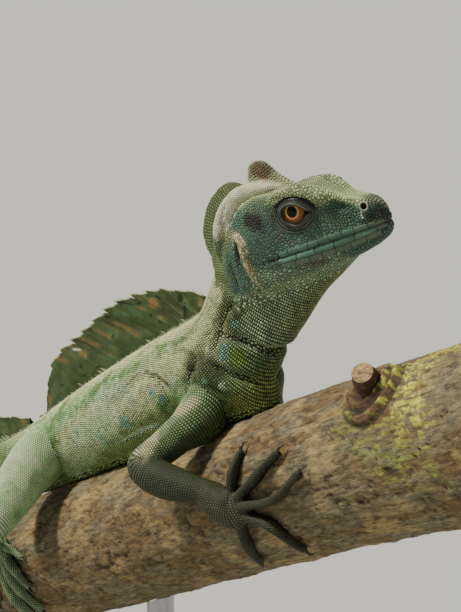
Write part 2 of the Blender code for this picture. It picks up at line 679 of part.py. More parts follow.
# Toes: (along the branch, degrees round it) at root, middle joint and tip, then half width at the root
PALM = (33.0, 94.5)
PALM_HALF_WIDTH = 0.0056
FINGERS = [((34.5, 86.0), (37.3, 72.0), (40.0, 58.0), 1.6),
           ((37.5, 88.5), (48.5, 79.0), (58.6, 67.5), 1.7),
           ((38.5, 94.5), (54.0, 96.0), (67.0, 85.0), 1.75),
           ((37.5, 101.0), (46.8, 112.0), (49.5, 139.0), 1.7),
           ((34.0, 104.5), (31.0, 121.0), (27.0, 141.0), 1.6)]
SOLE = (-113.5, 66.5)
SOLE_HALF_WIDTH = 0.0058
TOES = [((-108.0, 68.0), (-101.5, 73.0), (-95.0, 82.0), 1.65),
        ((-107.5, 71.0), (-101.0, 88.0), (-97.0, 106.0), 1.8),
        ((-107.5, 75.0), (-103.0, 101.0), (-100.0, 129.0), 1.9),
        ((-109.0, 77.5), (-108.5, 112.0), (-109.0, 152.0), 1.95),
        ((-112.5, 76.0), (-118.0, 92.0), (-122.0, 112.0), 1.7)]
CLAW_LENGTH = 0.0042
TOE_SIDES = 6
LEFT_HAND_SHIFT = -0.018  # along the branch
LEFT_FOOT_SHIFT = -0.008


def limb_rows(route, side, shift):
    """A limb's points and radii in metres, on the right (1) or the left (-1), slid along the branch."""
    rows = []
    for k, (x, y, z, radius) in enumerate(route):
        slide = BRANCH_AXIS * shift * min(1.0, k / 4)
        rows.append([*(NAPE + mm([x, -side * y, z]) + slide), radius * 0.001])
    return rows


def limb_part(name, rows, start, end, count, gap_start=True):
    """The stretch of a limb between two places along its route."""
    def speed(at):
        here, there = smooth_rows(rows, [at - 0.005, at + 0.005])[:, :3]
        return np.linalg.norm(there - here) / 0.01

    first = start + (0.5 * GAP / speed(start) if gap_start else 0.0)
    final = end - 0.5 * GAP / speed(end)
    sampled = smooth_rows(rows, np.linspace(first, final, count))
    return tube(name, sampled[:, :3], sampled[:, 3], LIMB_SIDES, side_way=np.array([0.0, 0.0, 1.0]))


def toe(name, side, shift, root, joint, tip, half_width):
    """A toe along the branch's surface with a swelling at each joint, and a claw whose point turns down."""
    lift = np.array([half_width + 0.45, half_width + 0.95, half_width * 0.55 + 0.35]) * 0.001
    ends = [(root, lift[0]), (joint, lift[1]), (tip, lift[2])]
    t = np.linspace(0, 2, 7)
    marks = smooth_rows([[d, a, h] for (d, a), h in ends], t)
    path = np.array([on_branch(d * 0.001 + shift, side * a, h) for d, a, h in marks])
    thin = half_width * 0.001 * (1 - 0.17 * t) * (1 + 0.10 * np.cos(t * 2 * math.pi))
    toe_piece = tube(name, path, thin, TOE_SIDES, flat=0.92)
    way = unit(path[-1] - path[-2])
    down = unit(on_branch(marks[-1][0] * 0.001 + shift, side * marks[-1][1], 0.0) - path[-1])
    claw_path = [path[-1] + way * CLAW_LENGTH * u + down * (0.0004 * u * u - 0.0009 * math.sin(u * math.pi))
                 for u in np.linspace(-0.35, 1.0, 5)]
    claw = tube(name + "_claw", np.array(claw_path), thin[-1] * np.array([0.62, 0.64, 0.52, 0.32, 0.08]), 5)
    return [toe_piece, claw]


def build_paw(name, rows, side, shift, centre, toes, half_width):
    """Palm or sole with its toes, from the wrist or ankle on."""
    middle = on_branch(centre[0] * 0.001 + shift, side * centre[1], 0.0031)
    out = unit(middle - branch_middle(centre[0] * 0.001 + shift))
    roots = np.mean([on_branch(t[0][0] * 0.001 + shift, side * t[0][1], 0.0027) for t in toes], axis=0)
    path = smooth_rows([rows[-1][:3], middle, roots + unit(roots - middle) * 0.0015], np.linspace(0, 2, 7))
    shares = np.linspace(0, 1, 7)
    palm = [rows[-1][3], half_width, half_width * 0.95, half_width * 0.6]
    radius = np.interp(shares, [0, 0.4, 0.8, 1.0], palm)
    flatness = np.interp(shares, [0, 0.5, 1.0], [1.0, 0.62, 0.5])
    ways = np.gradient(path, axis=0)
    turn = np.linspace(0, 2 * math.pi, LIMB_SIDES, endpoint=False)
    rings = []
    for point, way, r, flat in zip(path, ways, radius, flatness):
        way = unit(way)
        normal = unit(out - way * (out @ way))
        across = np.cross(way, normal)
        rings.append(point + r * (np.outer(np.cos(turn), across) + flat * np.outer(np.sin(turn), normal)))
    pieces = [ring_solid(name, rings)]
    for k, (root, joint, tip, half) in enumerate(toes):
        pieces += toe(f"{name}_{k}", side, shift, root, joint, tip, half)
    return fuse(name, pieces)


def build_limbs(torso, neck, tail_root, branch):
    for side, word in ((1, "right"), (-1, "left")):
        shift = 0.0 if side == 1 else LEFT_HAND_SHIFT
        rows = limb_rows(ARM_ROUTE, side, shift)
        upper = limb_part(f"upper_arm_{word}", rows, 0.0, ELBOW, 9, gap_start=False)
        fore = limb_part(f"forearm_{word}", rows, ELBOW, WRIST, 9)
        hand = build_paw(f"hand_{word}", rows, side, shift, PALM, FINGERS, PALM_HALF_WIDTH)
        fit_against(upper, torso, neck, branch)
        fit_against(fore, upper, torso, branch)
        fit_against(hand, fore, branch)
        shift = 0.0 if side == 1 else LEFT_FOOT_SHIFT
        rows = limb_rows(LEG_ROUTE, side, shift)
        thigh = limb_part(f"thigh_{word}", rows, 0.0, ELBOW, 10, gap_start=False)
        shank = limb_part(f"shank_{word}", rows, ELBOW, WRIST, 9)
        foot = build_paw(f"foot_{word}", rows, side, shift, SOLE, TOES, SOLE_HALF_WIDTH)
        fit_against(thigh, torso, tail_root, branch)
        fit_against(shank, thigh, branch)
        fit_against(foot, shank, branch)


# Perch and stand

def bark_radius(distance, turn):
    """The branch's radius. It thickens a little towards the front, and waves round its far side only."""
    swell = 1.0 + 0.06 * max(0.0, (distance - 0.075) / 0.065) ** 1.5
    taper = 1.0 - 0.05 * max(0.0, (-0.14 - distance) / 0.06)
    wave = 0.0005 * math.sin(distance * 90 + 2 * turn) * max(0.0, -math.cos(turn)) ** 2
    return BRANCH_RADIUS * swell * taper - abs(wave)


def build_branch():
    right = np.array([0.0, -1.0, 0.0])
    rings = []
    for distance in np.linspace(BRANCH_FROM, BRANCH_TO, 15):
        ring = []
        for a in np.linspace(0, 2 * math.pi, BRANCH_SIDES, endpoint=False):
            outward = BRANCH_TOP * math.cos(a) + right * math.sin(a)
            ring.append(branch_middle(distance) + outward * bark_radius(distance, a))
        rings.append(ring)
    wood = ring_solid("perch_branch", rings)
    distance, turn = KNOT_AT
    foot = on_branch(distance, turn, -0.004)
    out = unit(on_branch(distance, turn, 0.01) - foot)
    middle = on_branch(distance + 0.004, turn + 8, -0.0035)
    collar = ellipsoid("collar", middle, (BRANCH_AXIS, np.cross(out, BRANCH_AXIS), out), COLLAR_RADII, 9, 18)
    stub = tube("stub", foot + np.outer(STUB_REACH, STUB_WAY), STUB_RADII, 12)
    return fuse("perch_branch", [wood, collar, stub])


def build_stand(branch):
    length, width, height = BASE_SIZE
    corner = np.linspace(0, math.pi / 2, 6)
    outline = []
    for k, (sx, sy) in enumerate(((1, 1), (-1, 1), (-1, -1), (1, -1))):
        for a in corner + k * math.pi / 2:
            outline.append((sx * (length / 2 - BASE_CORNER) + BASE_CORNER * math.cos(a),
                            sy * (width / 2 - BASE_CORNER) + BASE_CORNER * math.sin(a)))
    outline = np.array(outline)
    shrink = 1 - 2 * BASE_EDGE / np.array([length, width])
    rings = [np.column_stack([outline, np.full(len(outline), 0.0)]),
             np.column_stack([outline, np.full(len(outline), height - BASE_EDGE)]),
             np.column_stack([outline * shrink, np.full(len(outline), height)])]
    base = ring_solid("stand_base", rings)
    base.data.set_sharp_from_angle(angle=math.radians(30))
    nodes = [base]
    for word, x in ROD_PLACES.items():
        top = BRANCH_HEIGHT + (x - NAPE[0]) * math.tan(BRANCH_PITCH)
        path = np.array([[x, 0, z] for z in np.linspace(height + GAP, top, 3)])
        rod = tube(f"stand_rod_{word}", path, [ROD_RADIUS] * 3, 16, side_way=np.array([1.0, 0.0, 0.0]))
        nodes.append(fit_against(rod, branch))
    return nodes


# Colours

PALETTE = {
    "skin_head": ((0.075, 0.150, 0.105), 0.5),
    "skin_body": ((0.230, 0.290, 0.150), 0.55),
    "skin_limb": ((0.130, 0.160, 0.095), 0.55),
    "crest": ((0.080, 0.110, 0.065), 0.55),
    "eye": ((0.600, 0.260, 0.050), 0.1),
    "wood": ((0.170, 0.110, 0.065), 0.85),
    "base": ((0.030, 0.028, 0.026), 0.35),
    "rod": ((0.350, 0.350, 0.360), 0.3),
}


def paint(obj, slot, metallic=0.0):
    colour, roughness = PALETTE[slot]
    material = bpy.data.materials.get(slot) or bpy.data.materials.new(slot)
    material.use_nodes = True
    shader = material.node_tree.nodes["Principled BSDF"]
    shader.inputs["Base Color"].default_value = (*colour, 1.0)
    shader.inputs["Roughness"].default_value = roughness
    shader.inputs["Metallic"].default_value = metallic
    obj.data.materials.clear()
    obj.data.materials.append(material)


def slot_of(name):
    """The colour of a node, from its name."""
    starts = (("eye", "eye"), ("head", "skin_head"), ("jaw", "skin_head"), ("crest", "crest"),
              ("perch", "wood"), ("stand_base", "base"), ("stand_rod", "rod"), ("torso", "skin_body"),
              ("neck", "skin_body"), ("tail", "skin_body"))
    for start, slot in starts:
        if name.startswith(start):
            return slot
    return "skin_limb"


def main():
    for obj in list(bpy.data.objects):
        bpy.data.objects.remove(obj)
    branch = build_branch()
    build_stand(branch)
    torso, neck = build_torso(), build_neck()
    tails = build_tail()
    head, jaw, _, whole = build_head()
    build_head_crests(whole)
    fit_against(neck, whole)
    remove(whole)
    build_back_crest(torso, neck)
    build_tail_crest(tails)
    build_limbs(torso, neck, tails[0], branch)
    for obj in bpy.data.objects:
        paint(obj, slot_of(obj.name), 1.0 if obj.name.startswith("stand_rod") else 0.0)


main()
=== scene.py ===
"""The looks of a male green basilisk on its perch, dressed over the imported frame.

Tables are in millimetres. Body tables are measured from NAPE and head tables from SKULL_BASE along the head's
own axes, as in the part's source.
"""

import math

import bpy
import numpy as np
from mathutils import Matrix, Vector, noise
from mathutils.bvhtree import BVHTree
from mathutils.kdtree import KDTree


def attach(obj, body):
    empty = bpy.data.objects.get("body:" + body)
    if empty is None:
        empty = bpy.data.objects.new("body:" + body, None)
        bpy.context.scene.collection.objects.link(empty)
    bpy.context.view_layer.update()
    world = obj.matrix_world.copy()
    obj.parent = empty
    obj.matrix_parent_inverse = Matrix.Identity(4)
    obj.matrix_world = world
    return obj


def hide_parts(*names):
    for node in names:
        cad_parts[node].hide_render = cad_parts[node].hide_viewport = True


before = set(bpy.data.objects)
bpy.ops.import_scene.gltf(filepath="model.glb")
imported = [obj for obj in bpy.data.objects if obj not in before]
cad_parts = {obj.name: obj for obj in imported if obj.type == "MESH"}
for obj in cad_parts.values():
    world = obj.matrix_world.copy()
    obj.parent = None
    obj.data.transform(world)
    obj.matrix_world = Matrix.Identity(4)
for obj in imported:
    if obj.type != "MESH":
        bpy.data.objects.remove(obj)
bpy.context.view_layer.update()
RANDOM = np.random.default_rng(7)


def mm(values):
    """Millimetres as metres."""
    return np.asarray(values, float) * 0.001


UP = np.array([0.0, 0.0, 1.0])

# The branch
BRANCH_RADIUS = 0.0255
BRANCH_PITCH = math.radians(25.7)
BRANCH_HEIGHT = 0.2317  # of its axis, above the nape's place on X
BRANCH_FROM = -0.200  # along its axis, from that point
BRANCH_TO = 0.140
BRANCH_SAG = 0.0038  # of its front end below a straight line
KNOT_AT = (0.093, 34.0)  # along the axis, and degrees round from the top towards the right
STUB_WAY = np.array([0.248, -0.709, 0.660])
STUB_REACH = mm([0.0, 6.0, 11.0, 14.5])
STUB_RADII = mm([5.4, 4.4, 3.9, 3.4])

# The lizard
NAPE = np.array([0.060, 0.0, 0.300])
SKULL_BASE = NAPE + mm([0.7, 0.0, 13.8])
HEAD_TURN = math.radians(21.0)  # to its left
HEAD_PITCH = math.radians(20.0)  # nose up
HEAD_ROLL = math.radians(5.0)  # crown towards its right
MOUTH_HEIGHT = -0.0011  # of the line of the mouth, in the head's own axes
EYE_CENTRE = mm([33.0, 7.4, 11.0])
EYE_RADIUS = 0.0050
TAIL_LENGTH = 0.475

# The head's lines: (along the head, half width, height), or (along the head, height) on its midline
HEAD_LINES = {
    "crown": [(-5, 5.5), (-2, 9.5), (4, 15.5), (12, 20.6), (19, 20.6), (30, 16.4), (38, 13.6), (50, 9.6),
              (55, 7.6), (57.5, 5.0), (58.4, 3.0)],
    "brow": [(-5, 3, 4), (0, 5.0, 9), (4, 6.4, 13), (12, 7.4, 17), (24, 10.2, 17.6), (31, 10.6, 17.6), (38, 9.6, 15.6),
             (44, 7.9, 12), (50, 5.6, 9.2), (55, 4.0, 6.8), (57.5, 2.2, 4.4), (58.4, 1.0, 2.6)],
    "cheek": [(-5, 4, 0), (0, 7.6, 3), (5, 11, 5), (16, 12.8, 7), (31, 11.2, 9), (44, 8.6, 6.4), (50, 6.8, 5),
              (55, 4.9, 3.8), (57.5, 2.7, 2.5), (58.4, 1.2, 1.6)],
    "lip": [(-5, 5, -1.1), (4, 11.6, -1.1), (16, 13.8, -1.1), (31, 12.0, -1.1), (44, 9.0, -1.1), (50, 7.2, -1.1),
            (55, 5.2, -1.1), (57.5, 2.9, -1.1), (58.4, 1.3, -1.1)],
    "jaw": [(-5, 4, -5), (4, 11, -8.5), (16, 12.8, -8.8), (31, 10.4, -7.4), (44, 7.2, -6.2), (55, 3.6, -4.6),
            (57.5, 1.9, -3.4), (58.4, 0.9, -2.4)],
    "chin": [(-5, -7), (4, -12), (16, -12.8), (31, -11), (44, -8.9), (55, -6.0), (57.5, -4.4), (58.4, -3.0)],
}

# Ribs of neck and trunk: back and belly in the midline plane, half width, and degrees turned to the left
TRUNK_RIBS = [
    # back x, y, z      belly x, y, z      half width, turn
    (-14.0, 0, -5.0, 15.0, 0, -32.6, 15.6, 0),
    (-21.0, 0, -9.0, 1.0, 0, -39.2, 16.6, 0),
    (-33.0, 0, -15.4, -16.0, 0, -47.4, 16.8, 0),
    (-50.0, 0, -25.0, -34.0, 0, -56.0, 17.2, 0),
    (-66.0, 0, -34.5, -51.0, 0, -64.2, 17.0, 0),
    (-80.0, 0, -43.0, -67.0, 0, -71.8, 15.6, 0),
    (-92.0, 0, -50.6, -81.0, 0, -78.6, 13.6, 0),
    (-102.0, 0, -57.2, -93.0, 0, -84.2, 11.8, 0),
    (-112.5, 0, -63.6, -102.5, 0, -88.4, 10.2, 0),
]
CHEST_RIB = (-10.5, 0, -1.0, 19.8, 0, -29.4, 14.2, 2)
NECK_RIBS = [
    (-8.6, 0, 4.0, 19.0, 2.0, -18.6, 12.4, 6),
    (-7.0, 0, 8.5, 21.4, 5.4, -10.8, 11.6, 11),
    (-5.0, 0, 13.5, 25.0, 9.0, -3.6, 11.8, 16),
]
# Ribs inside the head, in its own axes: back x, z, throat x, z, half width
THROAT_RIBS = [(3, 10, 28.6, -17.0, 12.0), (14, 8, 37.5, -12.4, 10.6), (26, 4, 45.0, -8.4, 7.0)]


def unit(v):
    v = np.asarray(v, float)
    return v / np.linalg.norm(v)


def round_turns(count):
    """Angles spread evenly round a circle."""
    return np.linspace(0, 2 * math.pi, count, endpoint=False)


def head_axes():
    """The head's own forward, left and up."""
    forward = np.array([math.cos(HEAD_TURN) * math.cos(HEAD_PITCH),
                        math.sin(HEAD_TURN) * math.cos(HEAD_PITCH), math.sin(HEAD_PITCH)])
    level_left = np.array([-math.sin(HEAD_TURN), math.cos(HEAD_TURN), 0.0])
    left = level_left * math.cos(HEAD_ROLL) + np.cross(forward, level_left) * math.sin(HEAD_ROLL)
    return np.array([forward, left, np.cross(forward, left)])


HEAD_AXES = head_axes()


def in_head(points):
    """Points in the head's own axes, in metres, as world points."""
    return SKULL_BASE + np.asarray(points, float) @ HEAD_AXES


def on_head(points):
    """World points in the head's own axes, in millimetres."""
    return (points - SKULL_BASE) @ HEAD_AXES.T * 1000


def smooth_rows(rows, stations):
    """Rows carried smoothly through fractional row numbers (Catmull-Rom)."""
    rows = np.asarray(rows, float)
    t = np.clip(np.atleast_1d(stations), 0, len(rows) - 1)
    i = np.minimum(t.astype(int), len(rows) - 2)
    f = (t - i)[:, None]
    padded = np.vstack([2 * rows[0] - rows[1], rows, 2 * rows[-1] - rows[-2]])
    a, b, c, d = (padded[i + k] for k in range(4))
    return 0.5 * (2 * b + (c - a) * f + (2 * a - 5 * b + 4 * c - d) * f**2 + (3 * b - a - 3 * c + d) * f**3)


def along(table, x):
    """The table's other columns at each x, smooth and without overshoot. The first column rises."""
    table = np.asarray(table, float)
    knots, values = table[:, 0], table[:, 1:]
    step = np.diff(knots)[:, None]
    slope = np.diff(values, axis=0) / step
    tangent = np.vstack([slope[:1], (slope[:-1] + slope[1:]) / 2, slope[-1:]])
    flat = np.vstack([np.zeros_like(slope[:1], bool), slope[:-1] * slope[1:] <= 0,
                      np.zeros_like(slope[:1], bool)])
    tangent[flat] = 0.0
    x = np.clip(np.atleast_1d(x), knots[0], knots[-1])
    i = np.clip(np.searchsorted(knots, x) - 1, 0, len(knots) - 2)
    f = ((x - knots[i]) / np.diff(knots)[i])[:, None]
    h = step[i]
    return ((2 * f**3 - 3 * f**2 + 1) * values[i] + (f**3 - 2 * f**2 + f) * h * tangent[i]
            + (3 * f**2 - 2 * f**3) * values[i + 1] + (f**3 - f**2) * h * tangent[i + 1])

# The branch's surface, which hands and feet grip

BRANCH_AXIS = np.array([math.cos(BRANCH_PITCH), 0.0, math.sin(BRANCH_PITCH)])
BRANCH_TOP = np.array([-math.sin(BRANCH_PITCH), 0.0, math.cos(BRANCH_PITCH)])
BRANCH_ORIGIN = np.array([NAPE[0], 0.0, BRANCH_HEIGHT])


def branch_middle(distance):
    """The branch's centre line, straight under the lizard and bent down a little towards its front end."""
    past = max(0.0, distance - 0.06) / (BRANCH_TO - 0.06)
    return BRANCH_ORIGIN + BRANCH_AXIS * distance - BRANCH_TOP * BRANCH_SAG * past**1.5


def on_branch(distance, turn, lift):
    """A point above the branch's surface. turn is in degrees from the top towards the lizard's right."""
    a = math.radians(turn)
    out = BRANCH_TOP * math.cos(a) + np.array([0.0, -1.0, 0.0]) * math.sin(a)
    return branch_middle(distance) + out * (BRANCH_RADIUS + lift)


# Trunk, neck and tail are one line of ribs

def rib_ring(back, belly, half_width, turn, sides):
    """One closed section. It narrows towards the back, and its widest place is a little below the middle."""
    angle = round_turns(sides)
    middle, up = (back + belly) / 2, (back - belly) / 2
    across = np.array([-math.sin(turn), math.cos(turn), 0.0])
    upper = np.clip(np.sin(angle), 0, 1)
    width = half_width * np.cos(angle) * (1 - 0.16 * upper**1.5)
    return middle + np.outer(width, across) + np.outer(np.sin(angle), up)


def body_rings(stations, sides):
    rows = smooth_rows(BODY_ROWS, stations)
    return [rib_ring(r[0:3], r[3:6], r[6], r[7], sides) for r in rows]


def world_rib(row):
    """A rib's table row as world points, half width and turn in radians."""
    row = np.asarray(row, float)
    return [*(NAPE + mm(row[0:3])), *(NAPE + mm(row[3:6])), row[6] * 0.001, math.radians(row[7])]


def head_rib(row):
    back = in_head(mm([row[0], 0, row[1]]))
    throat = in_head(mm([row[2], 0, row[3]]))
    return [*back, *throat, row[4] * 0.001, HEAD_TURN]


# Degrees below the level, and degrees to the left of straight back, at shares of the tail's length
TAIL_DROOP = [(0.0, 24), (0.1, 21), (0.25, 26), (0.45, 37), (0.65, 38), (0.82, 20), (1.0, -8)]
TAIL_SWING = [(0.0, 0), (0.15, -3), (0.4, -20), (0.65, -24), (0.85, 4), (1.0, 30)]
# Half depth and half width at shares of its length
TAIL_GIRTH = [(0.0, 12.8, 10.0), (0.05, 10.1, 8.8), (0.14, 7.8, 7.4), (0.3, 5.6, 5.4), (0.5, 3.9, 3.8),
              (0.75, 2.3, 2.3), (1.0, 0.8, 0.8)]
TAIL_STEPS = 96

def tail_ribs():
    """Ribs along the tail, whose path follows from its droop and swing."""
    shares = np.linspace(0, 1, TAIL_STEPS + 1)
    droop = np.radians(along(TAIL_DROOP, shares)[:, 0])
    swing = np.radians(along(TAIL_SWING, shares)[:, 0])
    girth = mm(along(TAIL_GIRTH, shares))
    heading = np.stack([-np.cos(droop) * np.cos(swing), -np.cos(droop) * np.sin(swing), -np.sin(droop)], axis=1)
    last = TRUNK_RIBS[-1]
    root = NAPE + mm([(last[k] + last[k + 3]) / 2 for k in range(3)])
    step = TAIL_LENGTH / TAIL_STEPS
    path = root + np.vstack([np.zeros(3), np.cumsum((heading[:-1] + heading[1:]) / 2 * step, axis=0)])
    ribs = []
    for centre, way, (depth, width), turn in zip(path, heading, girth, swing):
        up = unit(UP - way * (UP @ way))
        ribs.append([*(centre + up * depth), *(centre - up * depth), width, turn])
    return ribs


TRUNK_ROWS = [*map(head_rib, THROAT_RIBS[::-1]), *map(world_rib, NECK_RIBS[::-1]), world_rib(CHEST_RIB),
              *map(world_rib, TRUNK_RIBS)]
BODY_ROWS = TRUNK_ROWS + tail_ribs()[1:]
TRUNK_END = len(TRUNK_ROWS) - 1

def head_ring(x, sides):
    """The head's section at x millimetres along it, through its crown, brow, cheek, lip, jaw and chin."""
    crown, brow, cheek, lip, jaw, chin = (along(HEAD_LINES[k], x)[0] for k in
                                          ("crown", "brow", "cheek", "lip", "jaw", "chin"))
    between = (brow[0] * 0.5, crown[0] * 0.62 + brow[1] * 0.38)
    below = (jaw[0] * 0.55, chin[0] * 0.9 + jaw[1] * 0.1)
    half = [between, tuple(brow), tuple(cheek), tuple(lip), tuple(jaw), below]
    loop = [(0.0, crown[0]), *half, (0.0, chin[0]), *[(-y, z) for y, z in half[::-1]], (0.0, crown[0])]
    closed = np.array([loop[-2], *loop, loop[1]], float)
    t = np.linspace(1, len(loop), sides, endpoint=False)
    section = smooth_rows(closed, t)
    return in_head(mm(np.column_stack([np.full(sides, float(x)), section])))

CASQUE_PATH = [(31, 2.6, 15.8), (23, 3.0, 20.0), (14, 4.2, 21.2), (8, 6.4, 17.8), (4, 8.0, 12.0), (1.5, 8.6, 5.0)]
CASQUE_RADII = [1.2, 2.4, 2.6, 2.4, 2.2, 1.4]
JAW_FOLD_PATH = [(10.5, 11.0, 9.0), (12.0, 12.6, 3.0), (13.6, 13.4, -4.0), (15.5, 13.0, -9.0)]
LID_OPENING = mm([4.3, 3.3])  # half length and half height
LID_TILT = math.radians(-14)  # its front corner is the lower

def mirrored(points, side):
    """Points of the head's left side, or their mirror on its right."""
    return np.asarray(points, float) * np.array([1.0, side, 1.0])


def on_side(point, side):
    """A place of the head's left side in the world, or its mirror."""
    return in_head(mirrored(point, side))

NOSTRIL = mm([53.2, 4.9, 5.7])


def nostril_axes(side):
    forward, left, up = HEAD_AXES
    outward = unit(left * side + forward * 0.25 + up * 0.25)
    across = unit(np.cross(up, outward))
    return across, np.cross(outward, across), outward

BACK_CREST_RAYS = 14
TAIL_CREST_RAYS = 20
# The back crest's edge in the midline plane, from the nape: along X and up
BACK_CREST_EDGE = [(-12.4, 2.0), (-20.8, 2.4), (-28.4, 1.6), (-35.7, 1.1), (-45.1, -1.0), (-54.4, -4.0), (-63.8, -8.4),
                   (-72.0, -13.4), (-82.2, -21.4), (-90.6, -26.8), (-98.4, -32.4), (-103.2, -39.0), (-105.6, -46.8),
                   (-106.4, -53.0), (-106.0, -57.0)]
# Where a ray that ends at a share of the edge has its root, as a share of the root line
BACK_CREST_ROOTS = [(0.0, 0.0), (0.2, 0.08), (0.4, 0.2), (0.5, 0.3), (0.65, 0.43), (0.82, 0.62), (0.92, 0.84),
                    (1.0, 1.0)]
# The tail crest's ray length, and degrees that it leans back, at shares of the crest's length
TAIL_CREST_HEIGHT = [(0.0, 4.0, 30), (0.06, 11.0, 30), (0.16, 17.0, 34), (0.3, 19.0, 38), (0.5, 17.0, 42),
                     (0.75, 10.0, 46), (1.0, 1.5, 50)]
TAIL_CREST_SHARE = 0.45  # of the tail's length
CREST_ROOT = 0.0017  # half thickness at the skin
RAY_RIDGE = 0.00035
CREST_SINK = 0.0012  # into the skin before the root is cut to it


def crest_line(start, end):
    """foot, up_way and back_way of a crest that follows the backs of the ribs from row start to row end."""
    def row_at(share):
        return smooth_rows(BODY_ROWS, start + (end - start) * share)[0]

    def foot(share):
        return row_at(share)[0:3]

    def back_way(share):
        return unit(row_at(min(share + 0.02, 1.0))[0:3] - row_at(max(share - 0.02, 0.0))[0:3])

    def up_way(share):
        up = row_at(share)[0:3] - row_at(share)[3:6]
        way = back_way(share)
        return unit(up - way * (up @ way))

    return foot, up_way, back_way


def along_line(points, shares):
    """Points at shares of a smooth line's length."""
    fine = smooth_rows(points, np.linspace(0, len(points) - 1, 20 * len(points)))
    reach = np.concatenate([[0.0], np.cumsum(np.linalg.norm(np.diff(fine, axis=0), axis=1))])
    return np.column_stack([np.interp(np.asarray(shares) * reach[-1], reach, fine[:, k]) for k in range(fine.shape[1])])

# Limbs. Each is one path in millimetres from the nape, with a radius at each point, parted at its joints

ARM_ROUTE = [(-6, 8, -29, 8.0), (2, 14, -31, 7.4), (3.5, 21, -35.5, 6.2), (0.5, 28.5, -42, 5.6),
             (-2.5, 35, -47.4, 5.4), (2, 35.4, -49.8, 5.7), (8, 33.8, -51, 5.8), (14.5, 32, -51.6, 4.9),
             (20.5, 30.2, -52.2, 4.1)]
LEG_ROUTE = [(-95, 4, -69, 11.0), (-91, 13, -69.5, 10.4), (-86.5, 24, -74, 9.4), (-81, 36, -80.5, 8.0),
             (-77, 47, -87, 6.6), (-82, 48.5, -90.5, 6.5), (-91, 42.5, -94.5, 6.6), (-103, 34, -100, 5.2),
             (-114.5, 26.5, -105, 4.1)]

# Toes: (along the branch, degrees round it) at the root, the middle joint and the tip, then half width at the root
PALM = (33.0, 94.5)
PALM_HALF_WIDTH = 0.0056
FINGERS = [((34.5, 86.0), (37.3, 72.0), (40.0, 58.0), 1.6),
           ((37.5, 88.5), (48.5, 79.0), (58.6, 67.5), 1.7),
           ((38.5, 94.5), (54.0, 96.0), (67.0, 85.0), 1.75),
           ((37.5, 101.0), (46.8, 112.0), (49.5, 139.0), 1.7),
           ((34.0, 104.5), (31.0, 121.0), (27.0, 141.0), 1.6)]
SOLE = (-113.5, 66.5)
SOLE_HALF_WIDTH = 0.0058
TOES = [((-108.0, 68.0), (-101.5, 73.0), (-95.0, 82.0), 1.65),
        ((-107.5, 71.0), (-101.0, 88.0), (-97.0, 106.0), 1.8),
        ((-107.5, 75.0), (-103.0, 101.0), (-100.0, 129.0), 1.9),
        ((-109.0, 77.5), (-108.5, 112.0), (-109.0, 152.0), 1.95),
        ((-112.5, 76.0), (-118.0, 92.0), (-122.0, 112.0), 1.7)]
CLAW_LENGTH = 0.0042
LEFT_HAND_SHIFT = -0.018  # along the branch
LEFT_FOOT_SHIFT = -0.008


def limb_rows(route, side, shift):
    """A limb's points and radii in metres, on the right (1) or the left (-1), slid along the branch."""
    rows = []
    for k, (x, y, z, radius) in enumerate(route):
        slide = BRANCH_AXIS * shift * min(1.0, k / 4)
        rows.append([*(NAPE + mm([x, -side * y, z]) + slide), radius * 0.001])
    return rows


def bark_radius(distance, turn):
    """The branch's radius. It thickens a little towards the front, and waves gently round its far side only."""
    swell = 1.0 + 0.06 * max(0.0, (distance - 0.075) / 0.065) ** 1.5
    taper = 1.0 - 0.05 * max(0.0, (-0.14 - distance) / 0.06)
    wave = 0.0005 * math.sin(distance * 90 + 2 * turn) * max(0.0, -math.cos(turn)) ** 2
    return BRANCH_RADIUS * swell * taper - abs(wave)

CAMERA_AZIMUTH = math.radians(48)
CAMERA_ELEVATION = math.radians(12)
CAMERA_DISTANCE = 0.5
FOCAL_PIXELS = 1520.0
PHOTO_SIZE = (461, 612)


def camera_axes():
    """The camera's place, then its right, up and forward."""
    a, e = CAMERA_AZIMUTH, CAMERA_ELEVATION
    back = np.array([math.sin(a) * math.cos(e), -math.cos(a) * math.cos(e), math.sin(e)])
    right = unit(np.cross(-back, UP))
    return NAPE + back * CAMERA_DISTANCE, right, np.cross(right, -back), -back


def cast(tree, u, v):
    """Where the photo's line of sight through a place in its frame first meets a surface."""
    eye, right, up, forward = camera_axes()
    way = unit(forward + right * (u - PHOTO_SIZE[0] / 2) / FOCAL_PIXELS - up * (v - PHOTO_SIZE[1] / 2) / FOCAL_PIXELS)
    hit = tree.ray_cast(Vector(eye), Vector(way))[0]
    return None if hit is None else np.array(hit)


# Meshes from arrays

def mesh_object(name, points, faces, smooth=True):
    """An object from an array of points and one of faces with equally many corners."""
    points, faces = np.asarray(points, float), np.asarray(faces, int)
    mesh = bpy.data.meshes.new(name)
    mesh.vertices.add(len(points))
    mesh.vertices.foreach_set("co", points.ravel())
    mesh.loops.add(faces.size)
    mesh.loops.foreach_set("vertex_index", faces.ravel())
    mesh.polygons.add(len(faces))
    mesh.polygons.foreach_set("loop_start", np.arange(0, faces.size, faces.shape[1]))
    mesh.update(calc_edges=True)
    mesh.validate()
    if smooth:
        mesh.shade_smooth()
    obj = bpy.data.objects.new(name, mesh)
    bpy.context.scene.collection.objects.link(obj)
    return obj


def grid_faces(rows, columns, closed=True, start=0):
    """Four-cornered faces between rows of points."""
    i = np.arange(rows - 1)[:, None] * columns + start
    k = np.arange(columns if closed else columns - 1)[None, :]
    n = (k + 1) % columns
    return np.stack([i + k, i + n, i + columns + n, i + columns + k], axis=-1).reshape(-1, 4)


def capped(rings):
    """Rings with each end drawn in to its middle."""
    rings = np.asarray(rings, float)
    first, last = (rings[k].mean(0) + (rings[k] - rings[k].mean(0)) * 0.001 for k in (0, -1))
    return np.concatenate([first[None], rings, last[None]])


